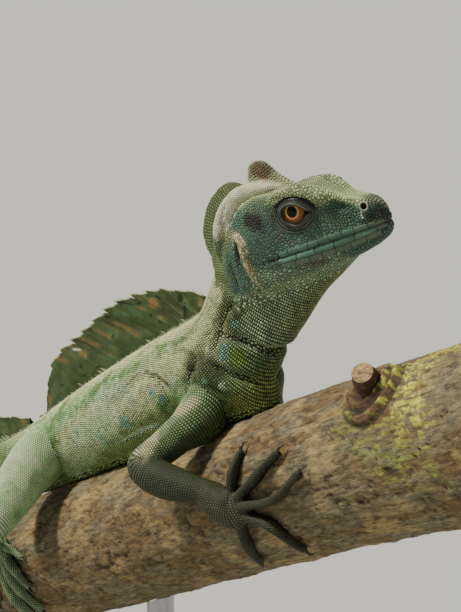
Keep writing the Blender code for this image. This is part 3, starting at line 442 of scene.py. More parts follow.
def mesh_arrays(obj):
    """A mesh's points, outward directions and edges."""
    mesh = obj.data
    points = np.empty(len(mesh.vertices) * 3)
    mesh.vertices.foreach_get("co", points)
    normals = np.empty(len(mesh.vertices) * 3)
    mesh.vertex_normals.foreach_get("vector", normals)
    edges = np.empty(len(mesh.edges) * 2, int)
    mesh.edges.foreach_get("vertices", edges)
    return points.reshape(-1, 3), normals.reshape(-1, 3), edges.reshape(-1, 2)


def set_points(obj, points):
    obj.data.vertices.foreach_set("co", np.asarray(points, float).ravel())
    obj.data.update()


def tree_of(obj):
    polygons = np.empty(len(obj.data.loops), int)
    obj.data.loops.foreach_get("vertex_index", polygons)
    points = mesh_arrays(obj)[0]
    corners = len(obj.data.polygons[0].vertices)
    return BVHTree.FromPolygons(points.tolist(), polygons.reshape(-1, corners).tolist())


def applied(obj):
    """The object's mesh with its modifiers applied."""
    return bpy.data.meshes.new_from_object(obj.evaluated_get(bpy.context.evaluated_depsgraph_get()))


def nearest_of(points):
    """A tree that finds the nearest of some points."""
    tree = KDTree(len(points))
    for k, p in enumerate(points):
        tree.insert(p, k)
    tree.balance()
    return tree


def evened(points, edges, rounds):
    """Points smoothed without shrinking."""
    count = np.bincount(edges.ravel(), minlength=len(points))[:, None]
    for factor in (0.5, -0.53) * rounds:
        total = np.stack([np.bincount(edges[:, 0], points[edges[:, 1], k], len(points))
                          + np.bincount(edges[:, 1], points[edges[:, 0], k], len(points)) for k in range(3)], axis=1)
        points = points + factor * (total / count - points)
    return points


def mixed(colour, other, amount):
    """A colour with a share of another laid over it."""
    return colour * (1 - amount) + other * amount


def bell(x, middle, width):
    """1 at the middle, falling off smoothly on both sides."""
    return np.exp(-((x - middle) / width) ** 2)


def noise_grid(first, second, place):
    """Noise at the place made from every pair of two lists' values."""
    return np.array([[noise.noise(Vector(place(a, b))) for b in second] for a in first])


def middles(rings, rows):
    """The rings' middles at fractional row numbers."""
    centres = rings.mean(1)
    return np.column_stack([np.interp(rows, np.arange(len(rings)), centres[:, k]) for k in range(3)])


def wavy(points, size, seed=0.0):
    """Smooth noise between about -1 and 1 at points."""
    shift = Vector((seed * 13.7, seed * 7.1, seed * 3.3))
    return np.array([noise.noise(Vector(p) / size + shift) for p in points])


def ease(x, low, high):
    """0 below low, 1 above high and smooth between."""
    t = np.clip((np.asarray(x, float) - low) / (high - low), 0, 1)
    return t * t * (3 - 2 * t)


# The animal's surface, from the same ribs and routes as its solids

def tube_rings(path, radii, sides, flat=1.0, side_way=None):
    """Rings round a path. flat thins them across side_way."""
    path = np.asarray(path, float)
    ways = np.gradient(path, axis=0)
    ways /= np.linalg.norm(ways, axis=1)[:, None]
    across = unit(np.cross(ways[0], UP if abs(ways[0][2]) < 0.9 else [1, 0, 0])) if side_way is None else side_way
    turn = round_turns(sides)
    rings = []
    for point, way, radius in zip(path, ways, radii):
        across = unit(across - way * (across @ way))
        other = np.cross(way, across)
        rings.append(point + radius * (np.outer(np.cos(turn), across) + np.outer(np.sin(turn), other) * flat))
    return np.array(rings)


def head_tube_rings(path, radii, sides=16):
    path = smooth_rows(path, np.linspace(0, len(path) - 1, 8 * len(path)))
    radii = np.interp(np.linspace(0, 1, len(path)), np.linspace(0, 1, len(radii)), radii)
    return tube_rings(in_head(mm(path)), mm(radii), sides)


def ellipsoid_rings(centre, axes, radii, rings=16, sides=24):
    turn = round_turns(sides)
    loops = []
    for t in np.linspace(0.02, math.pi - 0.02, rings):
        local = np.stack([np.cos(turn) * math.sin(t) * radii[0], np.sin(turn) * math.sin(t) * radii[1],
                          np.full(sides, math.cos(t) * radii[2])], axis=1)
        loops.append(centre + local @ np.asarray(axes))
    return np.array(loops)


def lobe_rings(foot, edge, root_half, edge_half, count=40, rows=14):
    """A rounded fin on the head's midline between its foot, sunk in, and its edge."""
    t = np.linspace(0, 1, count)
    foot = smooth_rows(foot, t * (len(foot) - 1))
    edge = smooth_rows(edge, t * (len(edge) - 1))
    rings = []
    for a, b in zip(foot, edge):
        outline = []
        for side in (1, -1):
            for level in np.linspace(0, 1, rows)[::side]:
                half = root_half * (1 - level) + edge_half * level
                half *= math.sqrt(max(1 - (level * 0.92) ** 4, 0.0))
                x, z = a * (1 - level) + b * level
                outline.append((x, side * half, z))
        rings.append(in_head(mm(outline)))
    return np.array(rings)


FRONT_LOBE = ([(32.5, 15.5), (27, 17.0), (20, 19.0), (17, 20.0)],
              [(33.0, 17.4), (27.2, 23.2), (23.0, 28.7), (18.8, 29.2), (16.9, 25.6)], 2.4, 2.2)
REAR_LOBE = ([(16.4, 18.5), (11, 18.0), (5, 14.0), (0, 8.0), (-2, 2.0)],
             [(15.8, 22.6), (9.0, 26.0), (1.0, 22.6), (-5.2, 14.8), (-6.4, 7.6), (-4.6, 0.4)], 3.4, 1.1)


def limb_rings(rows, count=70, sides=28):
    sampled = smooth_rows(rows, np.linspace(0, len(rows) - 1, count))
    return tube_rings(sampled[:, :3], sampled[:, 3], sides, side_way=np.array([0.0, 0.0, 1.0]))


def toe_path(side, shift, root, joint, tip, half_width, count=26):
    """A toe's path, radii and the way its claw points and bends."""
    lift = np.array([half_width + 0.45, half_width + 0.95, half_width * 0.55 + 0.35]) * 0.001
    t = np.linspace(0, 2, count)
    marks = smooth_rows([[d, a, h] for (d, a), h in zip((root, joint, tip), lift)], t)
    path = np.array([on_branch(d * 0.001 + shift, side * a, h) for d, a, h in marks])
    thin = half_width * 0.001 * (1 - 0.17 * t) * (1 + 0.10 * np.cos(t * 2 * math.pi))
    down = unit(on_branch(marks[-1][0] * 0.001 + shift, side * marks[-1][1], 0.0) - path[-1])
    return path, thin, unit(path[-1] - path[-3]), down


def paw_rings(rows, side, shift, centre, toes, half_width, count=30, sides=28):
    """Palm or sole, from inside the wrist or ankle to the toes' roots."""
    middle = on_branch(centre[0] * 0.001 + shift, side * centre[1], 0.0031)
    out = unit(middle - branch_middle(centre[0] * 0.001 + shift))
    roots = np.mean([on_branch(t[0][0] * 0.001 + shift, side * t[0][1], 0.0027) for t in toes], axis=0)
    before = rows[-1][:3] - unit(middle - rows[-1][:3]) * 0.0015
    path = smooth_rows([before, rows[-1][:3], middle, roots + unit(roots - middle) * 0.0015],
                       np.linspace(0, 3, count))
    shares = np.linspace(-0.5, 1, count)
    radius = np.interp(shares, [-0.5, 0, 0.4, 0.8, 1.0],
                       [rows[-1][3] * 0.9, rows[-1][3], half_width, half_width * 0.95, half_width * 0.6])
    flatness = np.interp(shares, [0, 0.5, 1.0], [1.0, 0.62, 0.5])
    turn = round_turns(sides)
    rings = []
    for point, way, r, flat in zip(path, np.gradient(path, axis=0), radius, flatness):
        way = unit(way)
        normal = unit(out - way * (out @ way))
        rings.append(point + r * (np.outer(np.cos(turn), np.cross(way, normal))
                                  + flat * np.outer(np.sin(turn), normal)))
    return np.array(rings)


BODY_STATIONS = np.concatenate([np.linspace(0, TRUNK_END, 150), np.linspace(TRUNK_END, len(BODY_ROWS) - 1, 400)[1:]])
HEAD_STATIONS = np.concatenate([np.linspace(-5, 52, 80), np.linspace(52.4, 58.2, 14)])


def animal_surfaces():
    """Every surface of the animal as rings, by name."""
    surfaces = {"body": np.array(body_rings(BODY_STATIONS, 80)),
                "head": np.array([head_ring(x, 96) for x in HEAD_STATIONS]),
                "lobe_front": lobe_rings(*FRONT_LOBE), "lobe_rear": lobe_rings(*REAR_LOBE)}
    for side, word in ((1, "left"), (-1, "right")):
        surfaces[f"casque_{word}"] = head_tube_rings(mirrored(CASQUE_PATH, side), CASQUE_RADII)
        surfaces[f"fold_{word}"] = head_tube_rings(mirrored(JAW_FOLD_PATH, side), [0.8, 1.5, 1.5, 0.6])
        surfaces[f"rim_{word}"] = ellipsoid_rings(on_side(NOSTRIL, side), nostril_axes(side), mm([1.5, 1.6, 0.9]))
    for side, word in ((1, "right"), (-1, "left")):
        for limb, paw, route, centre, toes, half, shift in (
                ("arm", "hand", ARM_ROUTE, PALM, FINGERS, PALM_HALF_WIDTH, LEFT_HAND_SHIFT),
                ("leg", "foot", LEG_ROUTE, SOLE, TOES, SOLE_HALF_WIDTH, LEFT_FOOT_SHIFT)):
            shift = 0.0 if side == 1 else shift
            rows = np.array(limb_rows(route, side, shift))
            surfaces[f"{limb}_{word}"] = limb_rings(rows)
            surfaces[f"{paw}_{word}"] = paw_rings(rows, side, shift, centre, toes, half)
            for k, (root, joint, tip, width) in enumerate(toes):
                path, thin, way, _ = toe_path(side, shift, root, joint, tip, width)
                path = np.vstack([path, path[-1] + way * thin[-1] * 0.5])
                thin = np.append(thin, thin[-1] * 0.55)
                surfaces[f"{paw}_{word}_toe_{k}"] = tube_rings(path, thin, 16, flat=0.92)
    return surfaces


SURFACES = animal_surfaces()
SKIN_VOXEL = 0.00062


def voxel_skin():
    points, faces, start = [], [], 0
    for rings in SURFACES.values():
        rings = capped(rings)
        points.append(rings.reshape(-1, 3))
        faces.append(grid_faces(*rings.shape[:2], start=start))
        start += rings.shape[0] * rings.shape[1]
    rough = mesh_object("rough", np.vstack(points), np.vstack(faces))
    modifier = rough.modifiers.new("remesh", "REMESH")
    modifier.mode = "VOXEL"
    modifier.voxel_size = SKIN_VOXEL
    mesh = applied(rough)
    bpy.data.objects.remove(rough)
    skin = bpy.data.objects.new("skin", mesh)
    bpy.context.scene.collection.objects.link(skin)
    mesh.shade_smooth()
    points, _, edges = mesh_arrays(skin)
    set_points(skin, evened(points, edges, 4))
    return skin


# Folds and grooves: places in the photo's frame that the line passes, depth and half width in millimetres, and
# whose midline they are mirrored across
FOLDS = [
    ("body", [(219, 334), (231, 338), (245, 341), (260, 348), (282, 355)], 1.5, 1.5),
    ("body", [(212, 363), (224, 371), (238, 376), (251, 380), (264, 383)], 1.3, 1.5),
    ("body", [(226, 306), (238, 310), (250, 315)], 0.6, 1.5),
    ("body", [(206, 384), (218, 392), (232, 396)], 0.6, 1.5),
    ("body", [(138, 372), (150, 377), (160, 385), (166, 396), (168, 408)], 0.9, 2.2),
    ("body", [(104, 416), (116, 404), (128, 392), (141, 380)], 0.6, 2.2),
    ("body", [(117, 445), (141, 432), (160, 425)], -0.8, 1.2),
    ("body", [(196, 352), (192, 368), (186, 384), (184, 396)], 1.2, 1.8),
    ("body", [(231, 300), (224, 318), (219, 334), (214, 352)], 1.0, 1.6),
    ("body", [(213, 326), (205, 344), (203, 362)], 0.8, 1.5),
    ("head", [(235.5, 243), (237, 252), (239.5, 262)], 1.3, 0.8),
    ("head", [(235, 237), (241, 249), (246, 263), (253, 277)], -0.8, 1.0),
    ("head", [(229, 262), (233, 276), (240, 290)], 0.7, 1.0),
    ("head", [(226, 203), (222, 216), (223, 230)], 0.5, 0.8),
    ("head", [(283, 188), (266, 192), (250, 198), (238, 207), (231, 220), (230, 232)], 0.6, 0.7),
    ("head", [(267, 207), (270, 198), (279, 194), (296, 192), (311, 193), (321, 197), (332, 201)], -0.75, 0.8),
    ("head", [(322, 203), (334, 206), (348, 207)], 0.5, 1.0),
    ("head", [(238, 262), (244, 274), (252, 286)], 0.5, 0.7),
]


def fold_line(tree, places):
    """Points every 0.3 mm along a line over the skin."""
    hits = np.array([hit for hit in (cast(tree, *place) for place in places) if hit is not None])
    if len(hits) > 2:
        hits = smooth_rows(hits, np.linspace(0, len(hits) - 1, 12 * len(hits)))
    length = np.linalg.norm(np.diff(hits, axis=0), axis=1).sum()
    return along_line(hits, np.linspace(0, 1, max(4, int(length / 0.0003))))


def across_midline(points, whose):
    """Points mirrored across the body's midline, or the head's."""
    if whose == "body":
        return points * np.array([1.0, -1.0, 1.0])
    local = (points - SKULL_BASE) @ HEAD_AXES.T
    return in_head(local * np.array([1.0, -1.0, 1.0]))


def fold_depth(points, tree):
    """How far each fold draws the skin in."""
    drawn = np.zeros(len(points))
    for whose, places, depth, width in FOLDS:
        line = fold_line(tree, places)
        for copy in (line, across_midline(line, whose)):
            copy = np.array([tree.find_nearest(Vector(p))[0] for p in copy])
            low, high = copy.min(0) - 0.006, copy.max(0) + 0.006
            near = np.flatnonzero(((points > low) & (points < high)).all(1))
            marks = nearest_of(copy)
            found = [marks.find(points[k]) for k in near]
            distance = np.array([f[2] for f in found]) * 1000 / width
            share = np.array([f[1] for f in found]) / (len(copy) - 1)
            fade = np.clip(np.minimum(share, 1 - share) * 5 + 0.25, 0, 1)
            drawn[near] += fade * depth * (np.exp(-distance**2) - 0.22 * np.exp(-((distance - 2.1) / 1.2) ** 2))
    return drawn * 0.001


def eye_frame(side):
    """The lids' own axes: along the slit, across it upwards, and outwards."""
    forward, left, up = HEAD_AXES
    outward = left * side
    long_way = forward * math.cos(LID_TILT) + up * math.sin(LID_TILT)
    return long_way, np.cross(long_way, outward) * side, outward


BELLY_REACH = 0.0034


def rested(points, normals):
    """Points of the underside near the branch, drawn down on to it."""
    rel = points - BRANCH_ORIGIN
    along_axis = rel @ BRANCH_AXIS
    near = np.flatnonzero((np.linalg.norm(rel - np.outer(along_axis, BRANCH_AXIS), axis=1) < BRANCH_RADIUS + 0.010)
                          & (along_axis > BRANCH_FROM) & (along_axis < BRANCH_TO))
    for k in near:
        middle = branch_middle(along_axis[k])
        out = points[k] - middle
        out -= BRANCH_AXIS * (out @ BRANCH_AXIS)
        reach = np.linalg.norm(out)
        gap = reach - BRANCH_RADIUS * 1.005
        facing = -(normals[k] @ out) / reach
        if 0 < gap < BELLY_REACH * 1.6 and facing > 0:
            share = ease(facing, 0.0, 0.35) * (1 - ease(gap, BELLY_REACH * 0.7, BELLY_REACH * 1.6))
            points[k] -= out / reach * gap * share
    return points


# How far each brow rises over the skull, at places along the head, in millimetres
BROW_DOME = [(28, 0.0), (31, 0.3), (34, 0.9), (38, 1.7), (41.5, 2.2), (44, 1.8), (46, 0.7), (48, 0.0)]


def shape_skin(skin):
    """Draws in the mouth, eyes, ears, nostrils and folds."""
    points, normals, _ = mesh_arrays(skin)
    tree = tree_of(skin)
    shift = np.full(len(points), 0.00012) + fold_depth(points, tree)
    x, y, z = on_head(points).T
    in_reach = (np.abs(y) < 16) & (x > -8) & (x < 60) & (z > -16) & (z < 32)
    mouth = MOUTH_HEIGHT * 1000
    lips = ease(x, 17.5, 21) * in_reach
    shift += lips * 0.00055 * np.exp(-((z - mouth) / 0.42) ** 2)
    shift -= lips * 0.00022 * np.exp(-((z - mouth - 1.3) / 0.7) ** 2)
    shift -= lips * 0.00025 * np.exp(-((z - mouth + 1.5) / 0.8) ** 2)
    brow_y, brow_z = along(HEAD_LINES["brow"], x).T
    dome = np.interp(x, *np.array(BROW_DOME).T) * in_reach
    dome = dome * np.exp(-((np.abs(y) - brow_y + 1.6) / 3.0) ** 2) * ease(z - brow_z, -3.0, -0.8)
    shift -= dome * 0.001
    moved = points - normals * shift[:, None]
    for side in (1, -1):
        centre = on_side(EYE_CENTRE, side)
        long_way, short_way, outward = eye_frame(side)
        rel = (points - centre) * 1000
        a, b, c = rel @ long_way, rel @ short_way, rel @ outward
        reach = np.hypot(a / 6.0, b / np.where(b > 0, 4.6, 5.2))
        bowl = (1 - ease(reach, 0.75, 1.12)) * (c > 0) * (reach < 1.3)
        moved -= np.outer(bowl * 0.0034, outward)
        rel = (points - on_side(NOSTRIL, side)) * 1000
        across, over, out = nostril_axes(side)
        reach = np.hypot(rel @ across / 0.85, rel @ over / 0.95)
        hole = (1 - ease(reach, 0.55, 1.15)) * (np.abs(rel @ out) < 2.5)
        moved -= np.outer(hole * 0.0013, out)
    moved -= normals * (wavy(points, 0.006)[:, None] * 0.00016 + wavy(points, 0.0022, 3)[:, None] * 0.00006)
    set_points(skin, rested(moved, normals))
    return skin


def face_normals(obj):
    """Each face's outward direction, evened between its corners."""
    normals = mesh_arrays(obj)[1]
    corners = np.empty(len(obj.data.loops), int)
    obj.data.loops.foreach_get("vertex_index", corners)
    mean = normals[corners.reshape(-1, 4)].mean(1)
    return mean / np.maximum(np.linalg.norm(mean, axis=1), 1e-9)[:, None]


def lighten(thing, ratio):
    """The same shape with fewer faces, once nothing more is measured on it."""
    modifier = thing.modifiers.new("lighter", "DECIMATE")
    modifier.ratio = ratio
    mesh = applied(thing)
    thing.modifiers.clear()
    thing.data = mesh
    mesh.shade_smooth()


SKIN = voxel_skin()
SMOOTH_TREE = tree_of(SKIN)
shape_skin(SKIN)
SKIN_TREE = tree_of(SKIN)
SKIN_FACE_NORMALS = face_normals(SKIN)


# Materials

def material_nodes(name, roughness=0.5, **sockets):
    """A material, its node tree and its shader, with constants set on the shader."""
    material = bpy.data.materials.new(name)
    material.use_nodes = True
    shader = material.node_tree.nodes["Principled BSDF"]
    shader.inputs["Roughness"].default_value = roughness
    for socket, value in sockets.items():
        shader.inputs[socket.replace("_", " ")].default_value = value
    return material, material.node_tree, shader


def add_node(tree, kind, **settings):
    """A node. Settings named in_0, in_Scale and so on go to its sockets, and may be links."""
    node = tree.nodes.new(kind)
    for key, value in settings.items():
        if not key.startswith("in_"):
            setattr(node, key, value)
    for key, value in settings.items():
        if key.startswith("in_"):
            socket = node.inputs[int(key[3:]) if key[3:].isdigit() else key[3:].replace("_", " ")]
            if isinstance(value, bpy.types.NodeSocket):
                tree.links.new(value, socket)
            else:
                socket.default_value = value
    return node


def noise_of(tree, scale, detail=3.0, vector=None, stretch=None, rough=0.55):
    """Noise in the object's own coordinates, or another vector's."""
    vector = vector or add_node(tree, "ShaderNodeTexCoord").outputs["Object"]
    if stretch:
        vector = add_node(tree, "ShaderNodeMapping", in_Vector=vector, in_Scale=stretch).outputs[0]
    return add_node(tree, "ShaderNodeTexNoise", in_Vector=vector, in_Scale=scale, in_Detail=detail,
                    in_Roughness=rough).outputs["Fac"]


def ramp_of(tree, factor, stops):
    """Colours at places of a factor from 0 to 1."""
    node = add_node(tree, "ShaderNodeValToRGB", in_0=factor)
    for k, (place, colour) in enumerate(stops):
        element = node.color_ramp.elements[k] if k < 2 else node.color_ramp.elements.new(place)
        element.position = place
        element.color = (*colour, 1.0) if len(colour) == 3 else colour
    return node.outputs[0]


def mix_of(tree, factor, a, b, blend="MIX"):
    return add_node(tree, "ShaderNodeMix", data_type="RGBA", blend_type=blend, in_0=factor, in_6=a, in_7=b).outputs[2]


def range_of(tree, value, low, high, to_low, to_high):
    return add_node(tree, "ShaderNodeMapRange", in_0=value, in_1=low, in_2=high, in_3=to_low, in_4=to_high).outputs[0]


def bump_of(tree, height, strength, distance):
    return add_node(tree, "ShaderNodeBump", in_Height=height, in_Strength=strength, in_Distance=distance).outputs[0]


def painted(name, roughness=(0.4, 0.6), grain=2500.0, bump=0.25, variation=0.18, **sockets):
    """Skin whose colour is the mesh's own paint, broken by fine noise."""
    material, tree, shader = material_nodes(name, **sockets)
    paint = add_node(tree, "ShaderNodeAttribute", attribute_name="paint").outputs["Color"]
    fine = noise_of(tree, grain, 3)
    broad = noise_of(tree, 260.0, 2)
    tint = ramp_of(tree, broad, [(0.25, (1 - variation,) * 3), (0.75, (1 + variation,) * 3)])
    speckle = ramp_of(tree, fine, [(0.3, (1 - variation,) * 3), (0.7, (1 + variation,) * 3)])
    colour = mix_of(tree, 1.0, mix_of(tree, 1.0, paint, tint, "MULTIPLY"), speckle, "MULTIPLY")
    tree.links.new(colour, shader.inputs["Base Color"])
    tree.links.new(range_of(tree, fine, 0.3, 0.7, *roughness), shader.inputs["Roughness"])
    tree.links.new(bump_of(tree, fine, bump, 0.0002), shader.inputs["Normal"])
    return material


def set_paint(obj, colours):
    """Stores a colour for each point of the mesh."""
    layer = obj.data.color_attributes.new("paint", "FLOAT_COLOR", "POINT")
    colours = np.column_stack([np.clip(colours, 0, 1), np.ones(len(colours))])
    layer.data.foreach_set("color", colours.ravel())


def dress(obj, material, nodes=()):
    """Gives a piece its material, hangs it under the root body, and hides the nodes that it stands for."""
    obj.data.materials.clear()
    obj.data.materials.append(material)
    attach(obj, "root")
    if nodes:
        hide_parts(*nodes)


# Eyes

# Colours of the eyeball, at degrees from the pupil's middle
IRIS_RINGS = [(0.0, (0.002, 0.002, 0.004)), (20.0, (0.002, 0.002, 0.004)), (22.5, (0.80, 0.42, 0.08)),
              (27.0, (0.46, 0.21, 0.055)), (31.0, (0.20, 0.075, 0.022)), (39.0, (0.26, 0.11, 0.038)),
              (46.0, (0.12, 0.044, 0.018)), (49.0, (0.010, 0.007, 0.005)), (90.0, (0.014, 0.009, 0.008))]


def build_eye(side, material):
    centre = on_side(EYE_CENTRE, side)
    long_way, short_way, outward = eye_frame(side)
    axis = unit(outward - long_way * 0.05 + short_way * 0.10)
    first = unit(long_way - axis * (long_way @ axis))
    second = np.cross(axis, first)
    polar = np.concatenate([np.linspace(0.05, 62, 150), np.linspace(64, 179.9, 30)])
    turn = round_turns(144)
    p, t = np.meshgrid(np.radians(polar), turn, indexing="ij")
    bulge = 1 + 0.02 * (1 - ease(np.degrees(p), 30, 60))
    points = centre + EYE_RADIUS * bulge[..., None] * (np.cos(p)[..., None] * axis + np.sin(p)[..., None] * (
        np.cos(t)[..., None] * first + np.sin(t)[..., None] * second))
    eye = mesh_object("eye_%s_ball" % ("left" if side == 1 else "right"), points.reshape(-1, 3),
                      grid_faces(len(polar), len(turn)))
    table = np.array([[a, *c] for a, c in IRIS_RINGS])
    streak = np.array([noise.noise(Vector((math.cos(a) * 9, math.sin(a) * 9, d * 0.05)))
                       for d in polar for a in turn])
    degrees = np.repeat(polar, len(turn))
    shifted = degrees + streak * 2.2 * ease(degrees, 23, 30)
    colours = np.column_stack([np.interp(shifted, table[:, 0], table[:, k]) for k in (1, 2, 3)])
    colours *= (1 + 0.45 * streak * ease(degrees, 23, 28))[:, None]
    set_paint(eye, colours)
    dress(eye, material, ["eye_left" if side == 1 else "eye_right"])


# The stage

FLOOR_REACH = 120.0
WORLD_STRENGTH = 0.34
KEY_STRENGTH = 4.2


def build_stage():
    eye, right, up, forward = camera_axes()
    camera = bpy.data.objects.new("camera", bpy.data.cameras.new("camera"))
    bpy.context.scene.collection.objects.link(camera)
    camera.location = eye
    camera.rotation_mode = "QUATERNION"
    camera.rotation_quaternion = Vector(forward).to_track_quat("-Z", "Y")
    camera.data.sensor_fit = "AUTO"
    camera.data.sensor_width = 36.0
    camera.data.lens = FOCAL_PIXELS * 36.0 / PHOTO_SIZE[1]
    camera.data.clip_start = 0.01
    bpy.context.scene.camera = camera

    corners = np.array([(-1, -1, 0), (1, -1, 0), (1, 1, 0), (-1, 1, 0)]) * FLOOR_REACH
    floor = mesh_object("floor", corners, [(0, 1, 2, 3)])
    material, tree, shader = material_nodes("floor_paint", 0.8)
    tree.links.new(ramp_of(tree, noise_of(tree, 3.0, 2), [(0.3, (0.56, 0.565, 0.545)), (0.7, (0.59, 0.595, 0.575))]),
                   shader.inputs["Base Color"])
    floor.data.materials.append(material)

    world = bpy.data.worlds.new("studio")
    bpy.context.scene.world = world
    world.use_nodes = True
    world.node_tree.nodes["Background"].inputs["Color"].default_value = (0.86, 0.90, 0.90, 1.0)
    world.node_tree.nodes["Background"].inputs["Strength"].default_value = WORLD_STRENGTH
    place = unit(-right * 0.72 + up * 1.0 - forward * 0.24)
    light = bpy.data.objects.new("key", bpy.data.lights.new("key", "SUN"))
    light.data.angle = math.radians(9)
    light.data.energy = KEY_STRENGTH
    light.data.color = (1.0, 0.955, 0.82)
    light.location = NAPE + place
    light.rotation_mode = "QUATERNION"
    light.rotation_quaternion = Vector(-place).to_track_quat("-Z", "Y")
    bpy.context.scene.collection.objects.link(light)


build_stage()


# Lids: folds round the slit, from the eyeball out to the skin

LID_REACH = mm([7.3, 6.4])
LID_REACH_UP = 0.0052
LID_RADIUS = 0.0062
LID_TURNS = 168
LID_ROWS = 44
# Lid colours. The black one is painted shade in the recess below the brow, and the near-black corner one is painted
# shade that carries the slit's dark into its front corner.
LID_COLOURS = {name: np.array(colour) for name, colour in (
    ("furrow", (0.024, 0.030, 0.021)), ("fold", (0.115, 0.135, 0.092)), ("bead", (0.30, 0.32, 0.23)),
    ("pink", (0.20, 0.13, 0.10)), ("brow_shade", (0.0, 0.0, 0.0)), ("corner", (0.012, 0.009, 0.008)))}


def lid_outline(angle):
    """The slit, pointed in front, with its upper lid the lower and flatter one."""
    front = ease(np.cos(angle), 0.1, 1.0)
    height = np.sign(np.sin(angle)) * np.abs(np.sin(angle)) ** (1.15 + 0.7 * front)
    height = height * np.where(np.sin(angle) > 0, 0.90, 1.16)
    return np.stack([np.cos(angle) * LID_OPENING[0] * (1 + 0.16 * front), height * LID_OPENING[1]], axis=-1)


def lid_share(along_slit, over_slit):
    """How far out a place by the eye is, with the lids' outer edge at 1."""
    return np.hypot(along_slit / LID_REACH[0], over_slit / np.where(over_slit > 0, LID_REACH_UP, LID_REACH[1]))


def lid_fold(share, angle):
    """The lids' folds, from -1 in a furrow to 1 on a fold, and how strong they are."""
    upper = np.clip(np.sin(angle) * 1.6, -1, 1)
    warp = noise_grid(share, angle, lambda s, a: (math.cos(a) * 1.7, math.sin(a) * 1.7, s * 1.5))
    fine = noise_grid(share, angle, lambda s, a: (math.cos(a) * 5, math.sin(a) * 5, 8 + s * 5))
    turns = share[:, None] ** 0.85 * (4.4 + 1.1 * upper[None]) * 2 * math.pi
    return np.cos(turns + 1.5 * warp + 0.7 * fine), 0.45 + 0.55 * ease(warp + fine * 0.6, -0.4, 0.4)


def lid_points(side, smooth_tree):
    """Rows of points from inside the slit outwards, and each row's share of the way out."""
    centre = on_side(EYE_CENTRE, side)
    long_way, short_way, outward = eye_frame(side)
    angle = round_turns(LID_TURNS)
    inner = lid_outline(angle)
    outer = np.stack([np.cos(angle) * LID_REACH[0],
                      np.sin(angle) * np.where(np.sin(angle) > 0, LID_REACH_UP, LID_REACH[1])], axis=-1)
    out_shares = np.linspace(0, 1, LID_ROWS)
    folds, strengths = lid_fold(out_shares, angle)

    def skin_height(a, b):
        start = centre + long_way * a + short_way * b + outward * 0.02
        hit = smooth_tree.ray_cast(Vector(start), Vector(-outward))[0]
        return 0.0 if hit is None else (np.array(hit) - centre) @ outward

    rows, shares = [], []
    for inset, height in ((0.00075, 0.0003), (0.00045, 0.0006), (0.00012, 0.00085)):
        flat = inner * (1 - inset / np.linalg.norm(inner, axis=1))[:, None]
        level = np.sqrt(np.maximum(EYE_RADIUS**2 - (flat**2).sum(1), 0.0020**2)) + height - 0.0002
        rows.append(np.column_stack([flat, level]))
        shares.append(0.0)
    for share, fold, strength in zip(out_shares, folds, strengths):
        flat = inner * (1 - share) + outer * share
        reach = np.hypot(*flat.T)
        ball = np.sqrt(np.maximum(LID_RADIUS**2 - reach**2, 0)) - 0.0001 * (share < 0.02)
        skin = np.array([skin_height(*p) for p in flat])
        level = np.logaddexp(ball * 2500, skin * 2500) / 2500
        level = level * (1 - ease(share, 0.75, 1)) + (skin - 0.00012) * ease(share, 0.75, 1)
        depth = 0.00021 * ease(share, 0.0, 0.12) * (1 - ease(share, 0.8, 1.0)) * strength
        over = 0.0004 * bell(share, 0.1, 0.08) - 0.0009 * bell(share, 0.72, 0.22)
        level = level + over * ease(np.sin(angle), 0.1, 0.7)
        rows.append(np.column_stack([flat, level + fold * depth]))
        shares.append(share)
    rows = np.array(rows)
    points = centre + rows[..., 0:1] * long_way + rows[..., 1:2] * short_way + rows[..., 2:3] * outward
    return points, np.array(shares), angle


def lid_colours(shares, angle):
    """Dark furrows between paler folds, a pale bead along the upper lid, painted shade in the recess below the brow,
    and a dark front corner that is painted shade.
    """
    upper = np.clip(np.sin(angle) * 1.6, -1, 1)[None, :]
    share = shares[:, None]
    fold, strength = lid_fold(shares, angle)
    crest = ease(fold, -0.7, 0.8) * strength + 0.4 * (1 - strength)
    bead = 0.75 * bell(share, 0.10, 0.05) * ease(upper, -0.4, 0.6)
    pink = 0.6 * bell(share, 0.03, 0.03) * ease(-upper, 0.0, 0.7)
    # Painted shade in the recess below the overhanging brow, on the upper lid only
    brow_shade = 0.65 * bell(share, 0.62, 0.20) * ease(upper, 0.0, 0.8)
    # Painted shade: the dark of the open slit carried out into its pointed front corner
    corner = 0.9 * bell(share, 0.05, 0.16) * ease(np.cos(angle), 0.86, 1.0)[None, :]
    colour = LID_COLOURS["furrow"]
    for name, amount in (("fold", crest), ("bead", bead), ("pink", pink), ("brow_shade", brow_shade), ("corner", corner)):
        colour = mixed(colour, LID_COLOURS[name], amount[..., None])
    return colour * np.where(share <= 0, 0.35, 1.0)[..., None]


# Crests on back and tail

RUST = np.array((0.19, 0.115, 0.045))
SAIL_GREEN = np.array((0.048, 0.074, 0.027))
SAIL_DARK = np.array((0.014, 0.017, 0.010))
SAIL_TEAL = np.array((0.050, 0.110, 0.055))
SAIL_PALE = np.array((0.66, 0.66, 0.45))
SAIL_SHADE = np.array((0.046, 0.056, 0.024))
# Painted shade, laid over the sail low down near its root where it meets the back
SAIL_ROOT_SHADE = 0.0
WHITE_PATCH = np.array((0.74, 0.78, 0.62)) * 0.7
SAIL_NOTCH = 0.115  # how far the edge falls back between rays, as a share of its height
# The sails' noise for jitter, fine streaks, mottling and spots: scale along, scale up, and seed
SAIL_NOISE = [(0.9, 2.2, 1.7), (5.0, 1.8, 9.2), (1.3, 5.0, 5.1), (2.4, 9.0, 2.6)]
